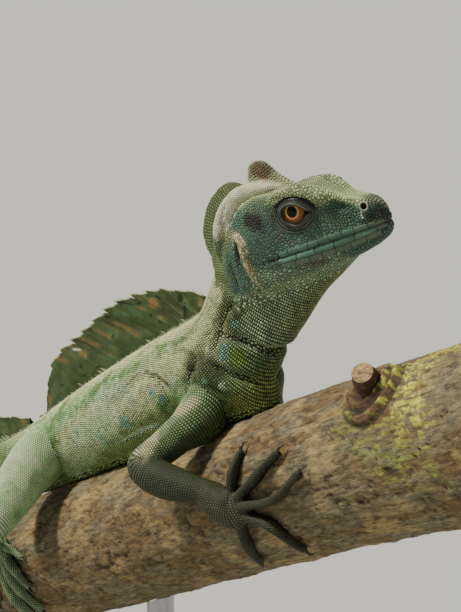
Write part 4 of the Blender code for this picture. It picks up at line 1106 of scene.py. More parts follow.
# Patches of the back's sail: place in the photo's frame, reach along and up in millimetres, colour
SAIL_PATCHES = [(76, 349.5, 2.8, 0.5, WHITE_PATCH), (72, 337, 0.9, 0.4, WHITE_PATCH), (153, 315, 0.9, 0.8, SAIL_DARK),
                (115, 336, 0.9, 0.8, SAIL_DARK), (188, 312, 1.1, 2.6, SAIL_DARK), (182, 298, 1.6, 1.8, SAIL_DARK),
                (155, 303, 3.4, 2.2, RUST * 1.1), (172, 308, 6.0, 6.0, SAIL_SHADE)]
COLUMNS_PER_RAY = 14
SAIL_ROWS = 40
SAIL_HALF = 0.00038  # half its thickness at the edge, between rays


def sail_tooth(phase):
    """The edge between two rays: it rises backwards to a pointed tip, 1, and drops to the notch behind it, 0."""
    return np.where(phase < 0.9, phase / 0.9, (1 - phase) / 0.1)


def on_midplane(u, v):
    """Where the photo's line of sight through a place in its frame crosses the body's midline plane."""
    eye, right, up, forward = camera_axes()
    way = forward + right * (u - PHOTO_SIZE[0] / 2) / FOCAL_PIXELS - up * (v - PHOTO_SIZE[1] / 2) / FOCAL_PIXELS
    return eye - way * eye[1] / way[1]


def fine_sail(name, root_of, tip_of, across_of, up_of, rays, material, node, patches=()):
    """A thin skin on rays with a toothed edge. The functions give places for shares of the sail's length."""
    shares = np.linspace(0, 1, rays * COLUMNS_PER_RAY + 1)
    levels = np.linspace(0, 1, SAIL_ROWS)
    root, tip = np.array([root_of(s) for s in shares]), np.array([tip_of(s) for s in shares])
    across, up = np.array([across_of(s) for s in shares]), np.array([up_of(s) for s in shares])
    phase = (shares * rays) % 1.0
    on_ray = bell(phase, 0.5, 0.09)
    notch = SAIL_NOTCH * (1 - sail_tooth(phase)) * (1 + 0.3 * wavy(tip, 0.011, 2))
    end = tip + (root - tip) * notch[:, None]
    start = root - up * CREST_SINK * 1.5
    middle = start[:, None] + (end - start)[:, None] * levels[None, :, None]
    jitter, fine, mottle, spot = (
        noise_grid(shares * rays, levels, lambda s, l: (s * across_scale, l * up_scale, seed))
        for across_scale, up_scale, seed in SAIL_NOISE)
    middle = middle + across[:, None] * (jitter * 0.0011 * ease(levels, 0.05, 0.6))[..., None]
    half = (CREST_ROOT * 0.95 * (1 - levels[None]) ** 1.6 + SAIL_HALF
            + RAY_RIDGE * on_ray[:, None] * (1 - 0.5 * levels[None]))
    half = half + 0.00006 * np.sin(shares * rays * 2 * math.pi * 5)[:, None] * ease(levels, 0.1, 0.3)[None]
    drift = (phase[:, None] + 0.10 * jitter) % 1.0
    rust = (bell(drift, 0.35, 0.15) + 0.5 * bell(drift, 0.80, 0.07)) * ease(levels, 0.15, 0.5)
    rust = rust * (1 - 0.5 * ease(levels, 0.9, 1.0)) * ease(mottle + 0.8 * jitter, -0.15, 0.45)
    colour = SAIL_GREEN * (1 + 0.30 * fine + 0.25 * mottle)[..., None]
    for shown, amount in ((SAIL_TEAL, ease(mottle, 0.05, 0.5) * (1 - rust) * 0.55), (RUST, 0.75 * rust),
                          # The sail is painted darker towards its root: painted shade
                          (SAIL_ROOT_SHADE, 0.25 * (1 - ease(levels, 0.0, 0.35))[None]),
                          (SAIL_DARK, 0.8 * ease(spot, 0.50, 0.66)),
                          (SAIL_PALE, 0.85 * ease(levels, 0.95, 0.985)[None] * ease(phase, 0.10, 0.35)[:, None])):
        colour = mixed(colour, shown, amount[..., None])
    for u, v, width, height, shown in patches:
        rel = (middle - on_midplane(u, v)) * 1000
        lean = unit(on_midplane(u + 10, v + 1) - on_midplane(u, v))
        reach = np.hypot(rel @ lean / width, rel @ np.cross(lean, [0.0, 1.0, 0.0]) / height) + 0.35 * fine
        colour = mixed(colour, shown, ((1 - ease(reach, 0.7, 1.15)) * 0.9)[..., None])
    front, rear = middle + across[:, None] * half[..., None], middle - across[:, None] * half[..., None]
    loop = np.concatenate([front, rear[:, ::-1]], axis=1)
    obj = mesh_object(name, loop.reshape(-1, 3), grid_faces(len(shares), 2 * SAIL_ROWS))
    set_paint(obj, np.concatenate([colour, colour[:, ::-1]], axis=1).reshape(-1, 3))
    dress(obj, material, [node])
    return middle[:, 0], across, up


SPIKE_WIDTH = 0.0009
SPIKE_PALE = np.array((0.50, 0.54, 0.38))


def spikes(name, roots, ways, sides, lengths, colours, material):
    """Flat, pointed scales that stand on a line."""
    points, faces, paint = [], [], []
    outline = [(-0.5, 0.0), (-0.46, 0.4), (-0.22, 0.8), (-0.03, 1.0), (0.07, 0.98), (0.28, 0.7), (0.5, 0.3),
               (0.5, 0.0)]
    for root, way, side, length, colour in zip(roots, ways, sides, lengths, colours):
        along_way = np.cross(way, side)
        start = len(points)
        for thick in (1, -1):
            for a, b in outline:
                points.append(root + along_way * a * SPIKE_WIDTH + way * (b * length - 0.0002)
                              + side * thick * 0.00022 * (1 - 0.8 * b))
                paint.append(np.asarray(colour) * (0.55 + 0.45 * b))
        n = len(outline)
        for k in range(n - 1):
            faces.append((start + k, start + k + 1, start + n + k + 1, start + n + k))
        for base, flip in ((start, 1), (start + n, -1)):
            for a, b, c, d in ((0, 1, 6, 7), (1, 2, 5, 6), (2, 3, 4, 5)):
                faces.append(tuple(base + v for v in (a, b, c, d)[::flip]))
    obj = mesh_object(name, points, faces, smooth=False)
    set_paint(obj, np.array(paint))
    dress(obj, material)


def build_crests(material, scale_material):
    foot, up_way, _ = crest_line(len(THROAT_RIBS) + len(NECK_RIBS) + 0.8, TRUNK_END - 0.4)
    edge = [(x, 0.0, z) for x, z in BACK_CREST_EDGE]
    fine = np.linspace(0, 1, 600)
    edge_points = NAPE + mm(along_line(edge, fine))

    def back_tip(share):
        return np.array([np.interp(share, fine, edge_points[:, k]) for k in range(3)])

    def root_share(share):
        return along(BACK_CREST_ROOTS, share)[0, 0]

    back = fine_sail("sail_back", lambda s: foot(root_share(s)), back_tip, lambda s: np.array([0.0, 1.0, 0.0]),
                     lambda s: up_way(root_share(s)), BACK_CREST_RAYS, material, "crest_back",
                     SAIL_PATCHES)
    tail_foot, tail_up, tail_back = crest_line(TRUNK_END + 0.5, TRUNK_END + TAIL_CREST_SHARE * TAIL_STEPS)

    def tail_way(share):
        lean = math.radians(along(TAIL_CREST_HEIGHT, share)[0, 1])
        return tail_up(share) * math.cos(lean) + tail_back(share) * math.sin(lean)

    tail = fine_sail("sail_tail", tail_foot,
                     lambda s: tail_foot(s) + tail_way(s) * along(TAIL_CREST_HEIGHT, s)[0, 0] * 0.001,
                     lambda s: unit(np.cross(tail_way(s), tail_back(s))), tail_up, TAIL_CREST_RAYS, material,
                     "crest_tail")
    for name, (root_line, across, up) in (("back", back), ("tail", tail)):
        roots, ways, sides, lengths, colours = [], [], [], [], []
        for k in range(1, len(root_line) - 1, 2):
            lean = unit(root_line[k + 1] - root_line[k - 1] + 1e-9)
            for side in (1, -1):
                roots.append(root_line[k] + up[k] * 0.0016 + across[k] * side * (CREST_ROOT + 0.0001)
                             + lean * 0.0004 * RANDOM.standard_normal())
                ways.append(unit(up[k] * 0.9 + lean + across[k] * side * 0.30))
                sides.append(unit(across[k] - ways[-1] * (across[k] @ ways[-1])))
                lengths.append(0.0012 + 0.0008 * RANDOM.random() + (0.0018 if RANDOM.random() < 0.12 else 0.0))
                colours.append(SPIKE_PALE * (0.7 + 0.4 * RANDOM.random()))
        spikes(f"crest_scales_{name}", roots, ways, sides, lengths, colours, scale_material)


# Claws

def build_claws(material):
    points, faces, start = [], [], 0
    for side in (1, -1):
        for toes, shift in ((FINGERS, LEFT_HAND_SHIFT), (TOES, LEFT_FOOT_SHIFT)):
            shift = 0.0 if side == 1 else shift
            for root, joint, tip, width in toes:
                path, thin, way, down = toe_path(side, shift, root, joint, tip, width)
                u = np.linspace(-0.3, 1.0, 14)
                claw = (path[-1] + np.outer(CLAW_LENGTH * 0.98 * u, way) + np.outer(0.0004 * u * u, down)
                        - np.outer(0.0009 * np.sin(np.clip(u, 0, 1) * math.pi), down))
                radii = thin[-1] * np.interp(u, [-0.3, 0.1, 0.5, 1.0], [0.6, 0.62, 0.42, 0.04])
                rings = capped(tube_rings(claw, radii, 12, flat=0.8))
                points.append(rings.reshape(-1, 3))
                faces.append(grid_faces(*rings.shape[:2], start=start))
                start += len(points[-1])
    claws = mesh_object("claws", np.vstack(points), np.vstack(faces))
    dress(claws, material)


# The branch

KNOT_RADIUS = 0.0105
BARK_ROWS = 490
BARK_TURNS = 200
STUB_ROWS = 70
STUB_TURNS = 72
BARK = {"brown": (0.160, 0.101, 0.039), "tan": (0.359, 0.257, 0.103), "grey": (0.176, 0.146, 0.086),
        "dark": (0.030, 0.020, 0.013), "red": (0.095, 0.037, 0.018), "lichen": (0.560, 0.540, 0.070),
        "dark_lichen": (0.22, 0.24, 0.050), "heart": (0.42, 0.27, 0.13)}
BARK = {name: np.array(colour) for name, colour in BARK.items()}
# Places in the photo's frame, reach in millimetres, colour, strength, and how broken up it is
BARK_MARKS = [([(300, 384), (345, 360), (400, 335)], 6.0, "tan", 0.85, 0.5), ([(366, 392)], 10.5, "red", 0.95, 0.1),
              ([(398, 356), (404, 380), (408, 405)], 8.0, "lichen", 0.95, 0.9),
              ([(412, 372), (446, 352)], 7.0, "lichen", 0.7, 1.0),
              ([(352, 424), (378, 440), (404, 462)], 7.0, "dark_lichen", 0.75, 0.9),
              ([(420, 350), (445, 372), (455, 400)], 7.0, "grey", 0.8, 0.6),
              ([(60, 556), (130, 540), (200, 500)], 9.0, "brown", 0.5, 0.6),
              ([(250, 520), (300, 500), (340, 480)], 9.0, "grey", 0.55, 0.9)]


def bark_noise(distances, angles, along_scale, round_scale, octaves, seed):
    """Noise drawn out along the branch."""
    turn = np.column_stack([np.cos(angles), np.sin(angles)]) * BRANCH_RADIUS * round_scale
    return np.array([[noise.fractal(Vector((d * along_scale + seed, *t)), 0.9, 2.1, octaves) for t in turn]
                     for d in distances])


def bark_colours(points, tree, relief, streak, blotch, grain):
    """Brown and tan bark with dark cracks, and the markings that lie where the photo shows them."""
    colour = mixed(BARK["brown"], BARK["grey"], ease(streak, -0.5, 0.5)[..., None])
    colour = mixed(colour, BARK["tan"], (ease(blotch, 0.1, 0.5) * 0.6)[..., None])
    flat = points.reshape(-1, 3)
    # Lichen grows in specks and small tufts
    speck = ease(RANDOM.random(streak.shape) * 0.5 + grain, 0.18, 0.42)
    for places, reach, name, strength, broken in BARK_MARKS:
        line = np.array([hit for hit in (cast(tree, *place) for place in places) if hit is not None])
        if not len(line):
            continue
        if len(line) > 1:
            line = along_line(line, np.linspace(0, 1, 20))
        distance = np.min(np.linalg.norm(flat[:, None] - line[None], axis=2), axis=1).reshape(streak.shape)
        ragged = distance * 1000 / reach + broken * (0.5 * streak + 0.4 * blotch - 1.5 * grain)
        amount = strength * (1 - ease(ragged, 0.4, 1.5))
        amount = amount * speck if "lichen" in name else amount
        colour = mixed(colour, BARK[name], amount[..., None])
    return mixed(colour, BARK["dark"], ease(-relief, 0.00012, 0.0008)[..., None] * 0.8)


def build_branch(material):
    distances = np.linspace(BRANCH_FROM, BRANCH_TO, BARK_ROWS)
    angles = round_turns(BARK_TURNS)
    cos, sin = np.cos(angles)[None, :, None], np.sin(angles)[None, :, None]
    out = BRANCH_TOP * cos - np.array([0.0, 1.0, 0.0]) * sin
    radius = np.array([[bark_radius(d, a) for a in angles] for d in distances])
    middle = np.array([branch_middle(d) for d in distances])[:, None]
    points = middle + out * radius[..., None]
    distance, turn = KNOT_AT
    knot = on_branch(distance + 0.003, turn + 6, 0.0)
    knot_out = unit(on_branch(distance, turn, 0.01) - on_branch(distance, turn, -0.004))
    rel = points - knot
    beside = rel - (rel @ knot_out)[..., None] * knot_out
    streak = bark_noise(distances, angles, 75, 300, 4, 2.0)
    grain = bark_noise(distances, angles, 260, 900, 3, 7.0)
    blotch = bark_noise(distances, angles, 60, 90, 3, 12.0)
    reach = np.linalg.norm(beside, axis=-1) / KNOT_RADIUS + 0.06 * blotch
    facing = (out @ knot_out) > 0.25
    near = np.where(facing, 1 - ease(reach, 0.95, 1.45), 0.0)
    ridge = np.cos(reach * 21)
    collar = near * (0.0026 * (1 - ease(reach, 0.6, 1.25)) + 0.00075 * ridge)
    relief = (0.00042 * streak + 0.00026 * grain - 0.0007 * np.clip(1 - np.abs(blotch + 0.4 * streak) * 9, 0, 1) ** 2)
    relief = relief * (1 - 0.55 * near) - 0.00035
    ends = np.minimum(ease(distances, BRANCH_FROM, BRANCH_FROM + 0.004),
                      1 - ease(distances, BRANCH_TO - 0.004, BRANCH_TO))
    points = points + out * (relief + collar - 0.0012 * (1 - ends)[:, None])[..., None]
    plain = mesh_object("bark_form", points.reshape(-1, 3), grid_faces(*points.shape[:2]))
    tree = tree_of(plain)
    bpy.data.objects.remove(plain)
    colour = bark_colours(points, tree, relief + 0.00035, streak, blotch, grain)
    colour = mixed(colour, BARK["dark"], (near * ease(-ridge, -0.2, 0.8) * 0.85)[..., None])
    inward = (0.995, 0.8, 0.5, 0.25, 0.08)
    rear_end = [mixed(points[0], points[0].mean(0), k) for k in inward]
    front_end = [mixed(points[-1], points[-1].mean(0), k) for k in inward[::-1]]
    wood = [np.tile(BARK["heart"] * (0.8 + 0.2 * math.cos(k * 9)), (BARK_TURNS, 1)) for k in inward]
    branch = mesh_object("branch_bark", np.concatenate([rear_end, points, front_end]).reshape(-1, 3),
                         grid_faces(BARK_ROWS + 2 * len(inward), BARK_TURNS))
    set_paint(branch, np.concatenate([wood, colour, wood[::-1]]).reshape(-1, 3))
    dress(branch, material, ["perch_branch"])

    foot = on_branch(distance, turn, -0.004)
    share = np.linspace(0, 1, STUB_ROWS)
    path = foot + np.outer(share * STUB_REACH[-1] * 0.985, STUB_WAY)
    radii = np.interp(share * STUB_REACH[-1], STUB_REACH, STUB_RADII * np.array([1.1, 1.02, 0.98, 0.94]))
    rings = tube_rings(path, radii, STUB_TURNS)
    rough = np.array([[noise.fractal(Vector(p) * 420, 0.9, 2.2, 4) for p in ring] for ring in rings])
    folds = np.cos(share * STUB_REACH[-1] * 1000 * 2.6)[:, None] * 0.05 * (1 - ease(share, 0.8, 0.95))[:, None]
    rings = rings + (rings - path[:, None]) * (rough * 0.05 + folds)[..., None]
    shares = (0.06, 0.2, 0.4, 0.6, 0.8, 0.99)
    cut = [mixed(rings[-1], rings[-1].mean(0) + STUB_WAY * 0.0003 * math.cos(k * 14), k) for k in shares]
    bark = np.tile(BARK["red"] * 0.9, (*rings.shape[:2], 1)) * (1 + 0.6 * rough + 3.0 * folds)[..., None]
    face = [np.tile(BARK["heart"] * (1.0 + 0.22 * math.cos(k * 14)), (STUB_TURNS, 1)) for k in shares]
    stub = mesh_object("branch_stub", np.concatenate([rings, cut]).reshape(-1, 3),
                       grid_faces(STUB_ROWS + len(shares), STUB_TURNS))
    set_paint(stub, np.concatenate([bark, face]).reshape(-1, 3))
    dress(stub, material)


def bark_material():
    material, tree, shader = material_nodes("bark", 0.85)
    paint = add_node(tree, "ShaderNodeAttribute", attribute_name="paint").outputs["Color"]
    place = add_node(tree, "ShaderNodeTexCoord").outputs["Object"]
    place = add_node(tree, "ShaderNodeMapping", in_Vector=place, in_Rotation=(0.0, BRANCH_PITCH, 0.0)).outputs[0]
    grain = noise_of(tree, 900, 5, place, (0.3, 1.0, 1.0), 0.65)
    speck = noise_of(tree, 2600, 3, place)
    colour = mix_of(tree, 1.0, paint, ramp_of(tree, grain, [(0.34, (0.38,) * 3), (0.66, (1.62,) * 3)]), "MULTIPLY")
    colour = mix_of(tree, 1.0, colour, ramp_of(tree, speck, [(0.3, (0.7,) * 3), (0.7, (1.3,) * 3)]), "MULTIPLY")
    tree.links.new(colour, shader.inputs["Base Color"])
    tree.links.new(range_of(tree, grain, 0.3, 0.7, 0.75, 0.95), shader.inputs["Roughness"])
    first = bump_of(tree, grain, 0.8, 0.0009)
    second = add_node(tree, "ShaderNodeBump", in_Height=speck, in_Strength=0.6, in_Distance=0.0005, in_Normal=first)
    tree.links.new(second.outputs[0], shader.inputs["Normal"])
    return material


# Scales: places over the skin, with the way each lies, its size and its colour

PALETTE = {
    "teal": (0.098, 0.210, 0.140), "deep_teal": (0.032, 0.080, 0.055), "labial": (0.088, 0.190, 0.124),
    "loreal": (0.085, 0.190, 0.095), "lime_cream": (0.72, 0.88, 0.42), "crown": (0.47, 0.56, 0.28),
    "charcoal": (0.034, 0.040, 0.030), "lid": (0.055, 0.070, 0.042), "temple": (0.018, 0.008, 0.008),
    "casque": (0.95, 0.88, 0.62), "casque_side": (0.15, 0.235, 0.130), "lobe": (0.190, 0.245, 0.092),
    "knob": (0.250, 0.140, 0.090), "strip": (0.62, 0.50, 0.26), "ear": (0.035, 0.020, 0.012),
    "brown": (0.205, 0.150, 0.095), "snout": (0.24, 0.26, 0.15), "white": (0.75, 0.80, 0.60),
    "cream": (0.70, 0.76, 0.40), "pale_green": (0.35, 0.58, 0.24), "green": (0.115, 0.235, 0.050),
    "leaf": (0.170, 0.330, 0.025), "belly": (0.270, 0.400, 0.100), "olive": (0.230, 0.260, 0.045),
    "dark_olive": (0.088, 0.122, 0.030), "turquoise": (0.20, 0.50, 0.38), "blue_white": (0.55, 0.76, 0.56),
    "limb": (0.060, 0.076, 0.028), "paw": (0.092, 0.098, 0.042), "hip": (0.66, 0.95, 0.50),
    "ridge": (0.74, 0.72, 0.42), "tail": (0.210, 0.310, 0.110), "tail_band": (0.080, 0.130, 0.042),
    "yellow_green": (0.31, 0.38, 0.060), "throat": (0.42, 0.58, 0.33), "leg": (0.54, 0.86, 0.44),
    "sole": (0.42, 0.58, 0.31), "shade": (0.040, 0.055, 0.018),
}
PALETTE = {name: np.array(colour) for name, colour in PALETTE.items()}

# Markings, with painted shade and highlights among them: whose midline they repeat across, places in the photo's frame,
# half width in mm, colour, strength
MARKS = [
    ("head", [(325, 214), (338, 220)], 6.0, "loreal", 0.8),
    ("head", [(262, 264), (300, 255), (340, 244), (378, 229)], 2.6, "labial", 0.75),
    ("head", [(300, 233), (330, 228)], 2.4, "teal", 0.6),
    ("head", [(252, 248), (266, 240)], 5.5, "deep_teal", 0.55),
    ("head", [(294, 212)], 8.8, "lid", 0.6),
    ("head", [(318, 199), (332, 201), (348, 205)], 1.5, "deep_teal", 0.8),
    ("head", [(268, 201), (276, 194), (288, 191), (302, 191), (318, 194)], 1.1, "crown", 0.85),
    ("head", [(312, 184), (335, 180)], 6.0, "crown", 0.8),
    ("head", [(320, 192), (336, 194), (352, 198), (362, 201)], 2.3, "lime_cream", 0.9),
    ("head", [(372, 199), (382, 203)], 2.6, "snout", 0.8),
    ("head", [(381, 213), (383, 220), (372, 222)], 3.2, "charcoal", 0.85),
    ("head", [(386, 205)], 0.9, "casque", 0.8),
    ("head", [(361.5, 214), (362.5, 217)], 0.7, "white", 0.95),
    ("head", [(250, 219), (256, 224)], 3.1, "temple", 0.92),
    ("head", [(262, 203), (252, 207)], 2.6, "casque_side", 0.8),
    ("head", [(287, 187), (273, 184), (256, 185.5), (239, 193), (228, 207), (221, 220), (219, 232)], 3.2,
     "casque", 0.95),
    ("head", [(226, 240), (222, 252)], 3.4, "lobe", 0.6),
    ("head", [(258, 168), (264, 172)], 3.0, "knob", 0.9),
    ("head", [(274, 177), (290, 187)], 2.0, "ridge", 0.7),
    ("head", [(233, 235), (239, 241), (244, 255), (250, 270), (258, 284)], 1.7, "strip", 0.85),
    ("head", [(262, 284), (300, 276), (340, 262)], 4.0, "throat", 0.5),
    ("head", [(234, 236), (239, 237)], 0.8, "casque", 0.9),
    ("head", [(235.5, 243), (237.5, 252), (240, 263)], 0.7, "ear", 0.95),
    ("head", [(298, 263), (322, 261)], 1.5, "brown", 0.7),
    ("head", [(372, 232), (384, 226)], 2.2, "brown", 0.6),
    ("head", [(278, 233), (286, 240)], 1.2, "brown", 0.35),
    ("body", [(214, 300), (207, 335), (192, 358), (150, 384), (110, 412), (76, 440), (40, 470)], 8.5, "cream", 0.9),
    ("body", [(70, 468), (88, 440), (108, 420)], 7.0, "hip", 0.75),
    ("body", [(233, 292), (229, 318)], 5.0, "dark_olive", 0.75),
    ("body", [(200, 366), (206, 392)], 6.5, "dark_olive", 0.75),
    ("body", [(222, 400), (236, 386), (252, 366)], 6.0, "green", 0.7),
    ("body", [(178, 349.5), (186, 351), (196, 355), (211, 362)], 0.9, "shade", 0.5),
    ("body", [(191, 362), (202, 368), (214, 376)], 3.6, "shade", 0.45),
    ("body", [(193, 372), (192, 384), (184, 394)], 2.6, "shade", 0.7),
    ("body", [(147, 373), (158, 377), (167, 384)], 1.3, "shade", 0.85),
    ("body", [(141, 372), (131, 381), (121, 392)], 0.6, "shade", 0.7),
    ("body", [(219, 334), (231, 338), (245, 341), (262, 348)], 1.2, "shade", 0.8),
    ("body", [(212, 363), (224, 371), (238, 376), (251, 380)], 1.2, "shade", 0.8),
    # Darker along the neck's fold: painted shade
    ("body", [(226, 304), (222, 320), (214, 340)], 3.2, "dark_olive", 0.45),
    ("body", [(256, 322), (262, 336), (268, 342)], 5.0, "throat", 0.4),
    ("body", [(100, 397), (115, 390), (128, 396)], 4.0, "blue_white", 0.45),
    ("body", [(240, 404), (262, 386)], 5.5, "yellow_green", 0.7),
    ("body", [(238, 357)], 3.6, "leaf", 0.9),
    ("body", [(168, 408), (176, 402)], 4.4, "green", 0.9),
    ("body", [(172, 392), (180, 384)], 2.2, "pale_green", 0.7),
    ("body", [(125, 422)], 3.0, "turquoise", 0.85),
    ("body", [(153, 394)], 2.0, "turquoise", 0.8),
    ("body", [(173, 382)], 1.8, "blue_white", 0.75),
    ("body", [(222, 387)], 1.6, "blue_white", 0.85),
    ("body", [(204, 381)], 1.2, "turquoise", 0.7),
    ("body", [(223, 347), (222, 356)], 1.8, "turquoise", 0.75),
    ("body", [(235, 324)], 1.6, "turquoise", 0.6),
    ("body", [(203, 420)], 1.8, "turquoise", 0.7),
    ("body", [(101, 437), (108, 445)], 2.2, "turquoise", 0.6),
    ("body", [(78, 432)], 2.0, "turquoise", 0.6),
    ("body", [(160, 402), (165, 397)], 1.4, "turquoise", 0.6),
    ("body", [(117, 445), (141, 432), (160, 425)], 1.3, "blue_white", 0.5),
    ("body", [(120, 462), (165, 444)], 8.0, "belly", 0.7),
    # A pale line along the top of the upper arm: painted highlight
    ("arm", [(192, 404), (180, 409), (165, 421), (152, 438), (141, 455)], 3.2, "ridge", 0.95),
    ("arm", [(196, 412), (176, 430), (160, 449)], 2.2, "green", 0.6),
    ("arm", [(137, 461), (133, 470)], 2.5, "limb", 0.8),
]


def marks_of(tree):
    """Each marking as points over the skin, with its reach, colour and strength."""
    made = []
    for whose, places, reach, name, strength in MARKS:
        hits = np.array([hit for hit in (cast(tree, *place) for place in places) if hit is not None])
        if not len(hits):
            continue
        if len(hits) > 1:
            hits = along_line(hits, np.linspace(0, 1, 4 + int(np.linalg.norm(hits[-1] - hits[0]) / 0.001)))
        for copy in (hits, across_midline(hits, "head" if whose == "head" else "body")):
            made.append((whose, copy, reach * 0.001, PALETTE[name], strength))
    return made


def with_marks(points, colours, whose, made):
    """Colours with the markings laid over them, their edges broken by noise."""
    ragged = wavy(points, 0.0016, 5) * 0.22 + wavy(points, 0.005, 6) * 0.18
    for owner, line, reach, colour, strength in made:
        if owner != whose:
            continue
        near = np.flatnonzero(((points > line.min(0) - reach * 2) & (points < line.max(0) + reach * 2)).all(1))
        if not len(near):
            continue
        distance = np.min(np.linalg.norm(points[near][:, None] - line[None], axis=2), axis=1)
        share = (strength * (1 - ease(distance / reach + ragged[near], 0.55, 1.25)))[:, None]
        colours[near] = mixed(colours[near], colour, share)
    return colours


SEED_FIELDS = ("point", "normal", "way", "size", "lift", "colour", "rim", "uv", "piece", "aspect")
SEEDS = {field: [] for field in SEED_FIELDS}
PIECES = []


def piece_number(name):
    if name not in PIECES:
        PIECES.append(name)
    return PIECES.index(name)


def onto_skin(points, limit=0.0012):
    """The nearest places of the skin, their outward directions, and which were near enough."""
    places, normals, kept = [], [], []
    for k, p in enumerate(points):
        place, _, face, _ = SKIN_TREE.find_nearest(Vector(p), limit)
        if place is not None:
            places.append(place)
            normals.append(SKIN_FACE_NORMALS[face])
            kept.append(k)
    return np.array(places).reshape(-1, 3), np.array(normals).reshape(-1, 3), np.array(kept, int)


def clear_of_others(points, sizes, closeness=0.62):
    """Which places keep their distance from the scales laid before."""
    if not SEEDS["point"]:
        return np.ones(len(points), bool)
    laid, laid_sizes = np.vstack(SEEDS["point"]), np.concatenate(SEEDS["size"])
    tree = nearest_of(laid)
    clear = np.ones(len(points), bool)
    for k, p in enumerate(points):
        _, other, distance = tree.find(Vector(p))
        clear[k] = distance > closeness * (sizes[k] + laid_sizes[other])
    return clear


def lay(points, ways, size, lift, colours, rims, uvs, pieces, limit=0.0012, normals=None, aside=None, aspect=1.0):
    """Adds scales where the skin is near and no other scale lies. With normals the points stay where they are."""
    points = np.asarray(points, float)
    size, lift, aspect = (np.broadcast_to(values, len(points)).astype(float) for values in (size, lift, aspect))
    if normals is None:
        places, normals, kept = onto_skin(points, limit)
    else:
        places, kept = points, np.arange(len(points))
    clear = clear_of_others(places, (size if aside is None else np.asarray(aside))[kept])
    clear &= ~in_labials(places)
    kept, places, normals = kept[clear], places[clear], normals[clear]
    for field, values in zip(SEED_FIELDS, (places, normals, ways[kept], size[kept], lift[kept], colours[kept],
                                           rims[kept], uvs[kept], pieces[kept], aspect[kept])):
        SEEDS[field].append(values)


def even_rows(rings, row_step, scale_step, skip=0.0):
    """Staggered places over rings of points: the place, its way back, and its shares along and round."""
    centres = rings.mean(1)
    reach = np.concatenate([[0], np.cumsum(np.linalg.norm(np.diff(centres, axis=0), axis=1))])
    closed = np.concatenate([rings, rings[:, :1]], axis=1)
    made, at, row = [], skip, 0
    while at < reach[-1]:
        share = np.interp(at, reach, np.arange(len(rings)))
        i = min(int(share), len(rings) - 2)
        ring = closed[i] * (1 - share + i) + closed[i + 1] * (share - i)
        way = unit(centres[min(i + 2, len(rings) - 1)] - centres[max(i - 1, 0)])
        round_reach = np.concatenate([[0], np.cumsum(np.linalg.norm(np.diff(ring, axis=0), axis=1))])
        step = scale_step(share) if callable(scale_step) else scale_step
        count = max(5, round(round_reach[-1] / step))
        shares = (np.arange(count) + 0.5 * (row % 2)) / count
        points = np.column_stack([np.interp(shares * round_reach[-1], round_reach, ring[:, k]) for k in range(3)])
        turns = np.interp(shares * round_reach[-1], round_reach, np.linspace(0, 1, len(ring)))
        made.append((points, np.tile(way, (count, 1)), np.full(count, share), turns))
        at += row_step(share) if callable(row_step) else row_step
        row += 1
    return [np.concatenate([m[k] for m in made]) for k in range(4)]


def cell_uv(cell, cells, along_share, round_share):
    """Places in one cell of a square unwrap."""
    wide = math.ceil(math.sqrt(cells))
    column, row = cell % wide, cell // wide
    return np.column_stack([(column + 0.03 + 0.94 * along_share) / wide, (row + 0.03 + 0.94 * round_share) / wide])


def blend_stops(values, stops):
    """Palette colours carried smoothly between places of a value."""
    table = np.array([[place, *PALETTE[name]] for place, name in stops])
    return np.column_stack([np.interp(values, table[:, 0], table[:, k]) for k in (1, 2, 3)])


def body_colours(stations, from_top, points):
    """Cream back, green sides and pale belly, with the neck's darker sides, and bands along the tail."""
    trunk = blend_stops(from_top, [(0, "cream"), (38, "cream"), (58, "pale_green"), (78, "pale_green"), (92, "green"),
                                   (104, "belly"), (180, "belly")])
    mottle = (0.75 * ease(wavy(points, 0.0085, 3) + 0.6 * wavy(points, 0.0035, 9), 0.02, 0.40)
              * ease(from_top, 12, 45) * (1 - ease(from_top, 105, 125)))[:, None]
    trunk = mixed(trunk, PALETTE["green"] * 1.15, mottle)
    neck = blend_stops(from_top, [(0, "cream"), (24, "cream"), (46, "dark_olive"), (95, "dark_olive"),
                                  (130, "throat"), (180, "olive")])
    tail = blend_stops(from_top, [(0, "pale_green"), (50, "tail"), (110, "tail"), (150, "belly")])
    beyond = np.clip((stations - TRUNK_END) / TAIL_STEPS, 0, 1)
    band = ease(np.sin(beyond * 2 * math.pi * 17 + 0.3 * np.sin(from_top / 20)), 0.1, 0.9)[:, None] * 0.75
    tail = mixed(tail, PALETTE["tail_band"], band)
    to_neck = (1 - ease(stations, 5.0, 8.5))[:, None]
    to_tail = ease(stations, TRUNK_END - 1, TRUNK_END + 7)[:, None]
    return mixed(mixed(trunk, neck, to_neck), tail, to_tail)


def finish_colours(points, colours, contrast):
    """Small differences between scales, and the dark between them."""
    tone = 1 + 0.16 * RANDOM.standard_normal(len(points)) * 0.7 + 0.12 * wavy(points, 0.0035, 8)
    tint = 1 + 0.05 * RANDOM.standard_normal((len(points), 3))
    colours = np.clip(colours * np.clip(tone, 0.5, 1.5)[:, None] * tint, 0.004, 0.85)
    grey = colours.mean(1, keepdims=True)
    rims = (colours * 0.75 + grey * 0.25 * np.array((0.9, 1.05, 0.7))) * contrast
    return colours, rims


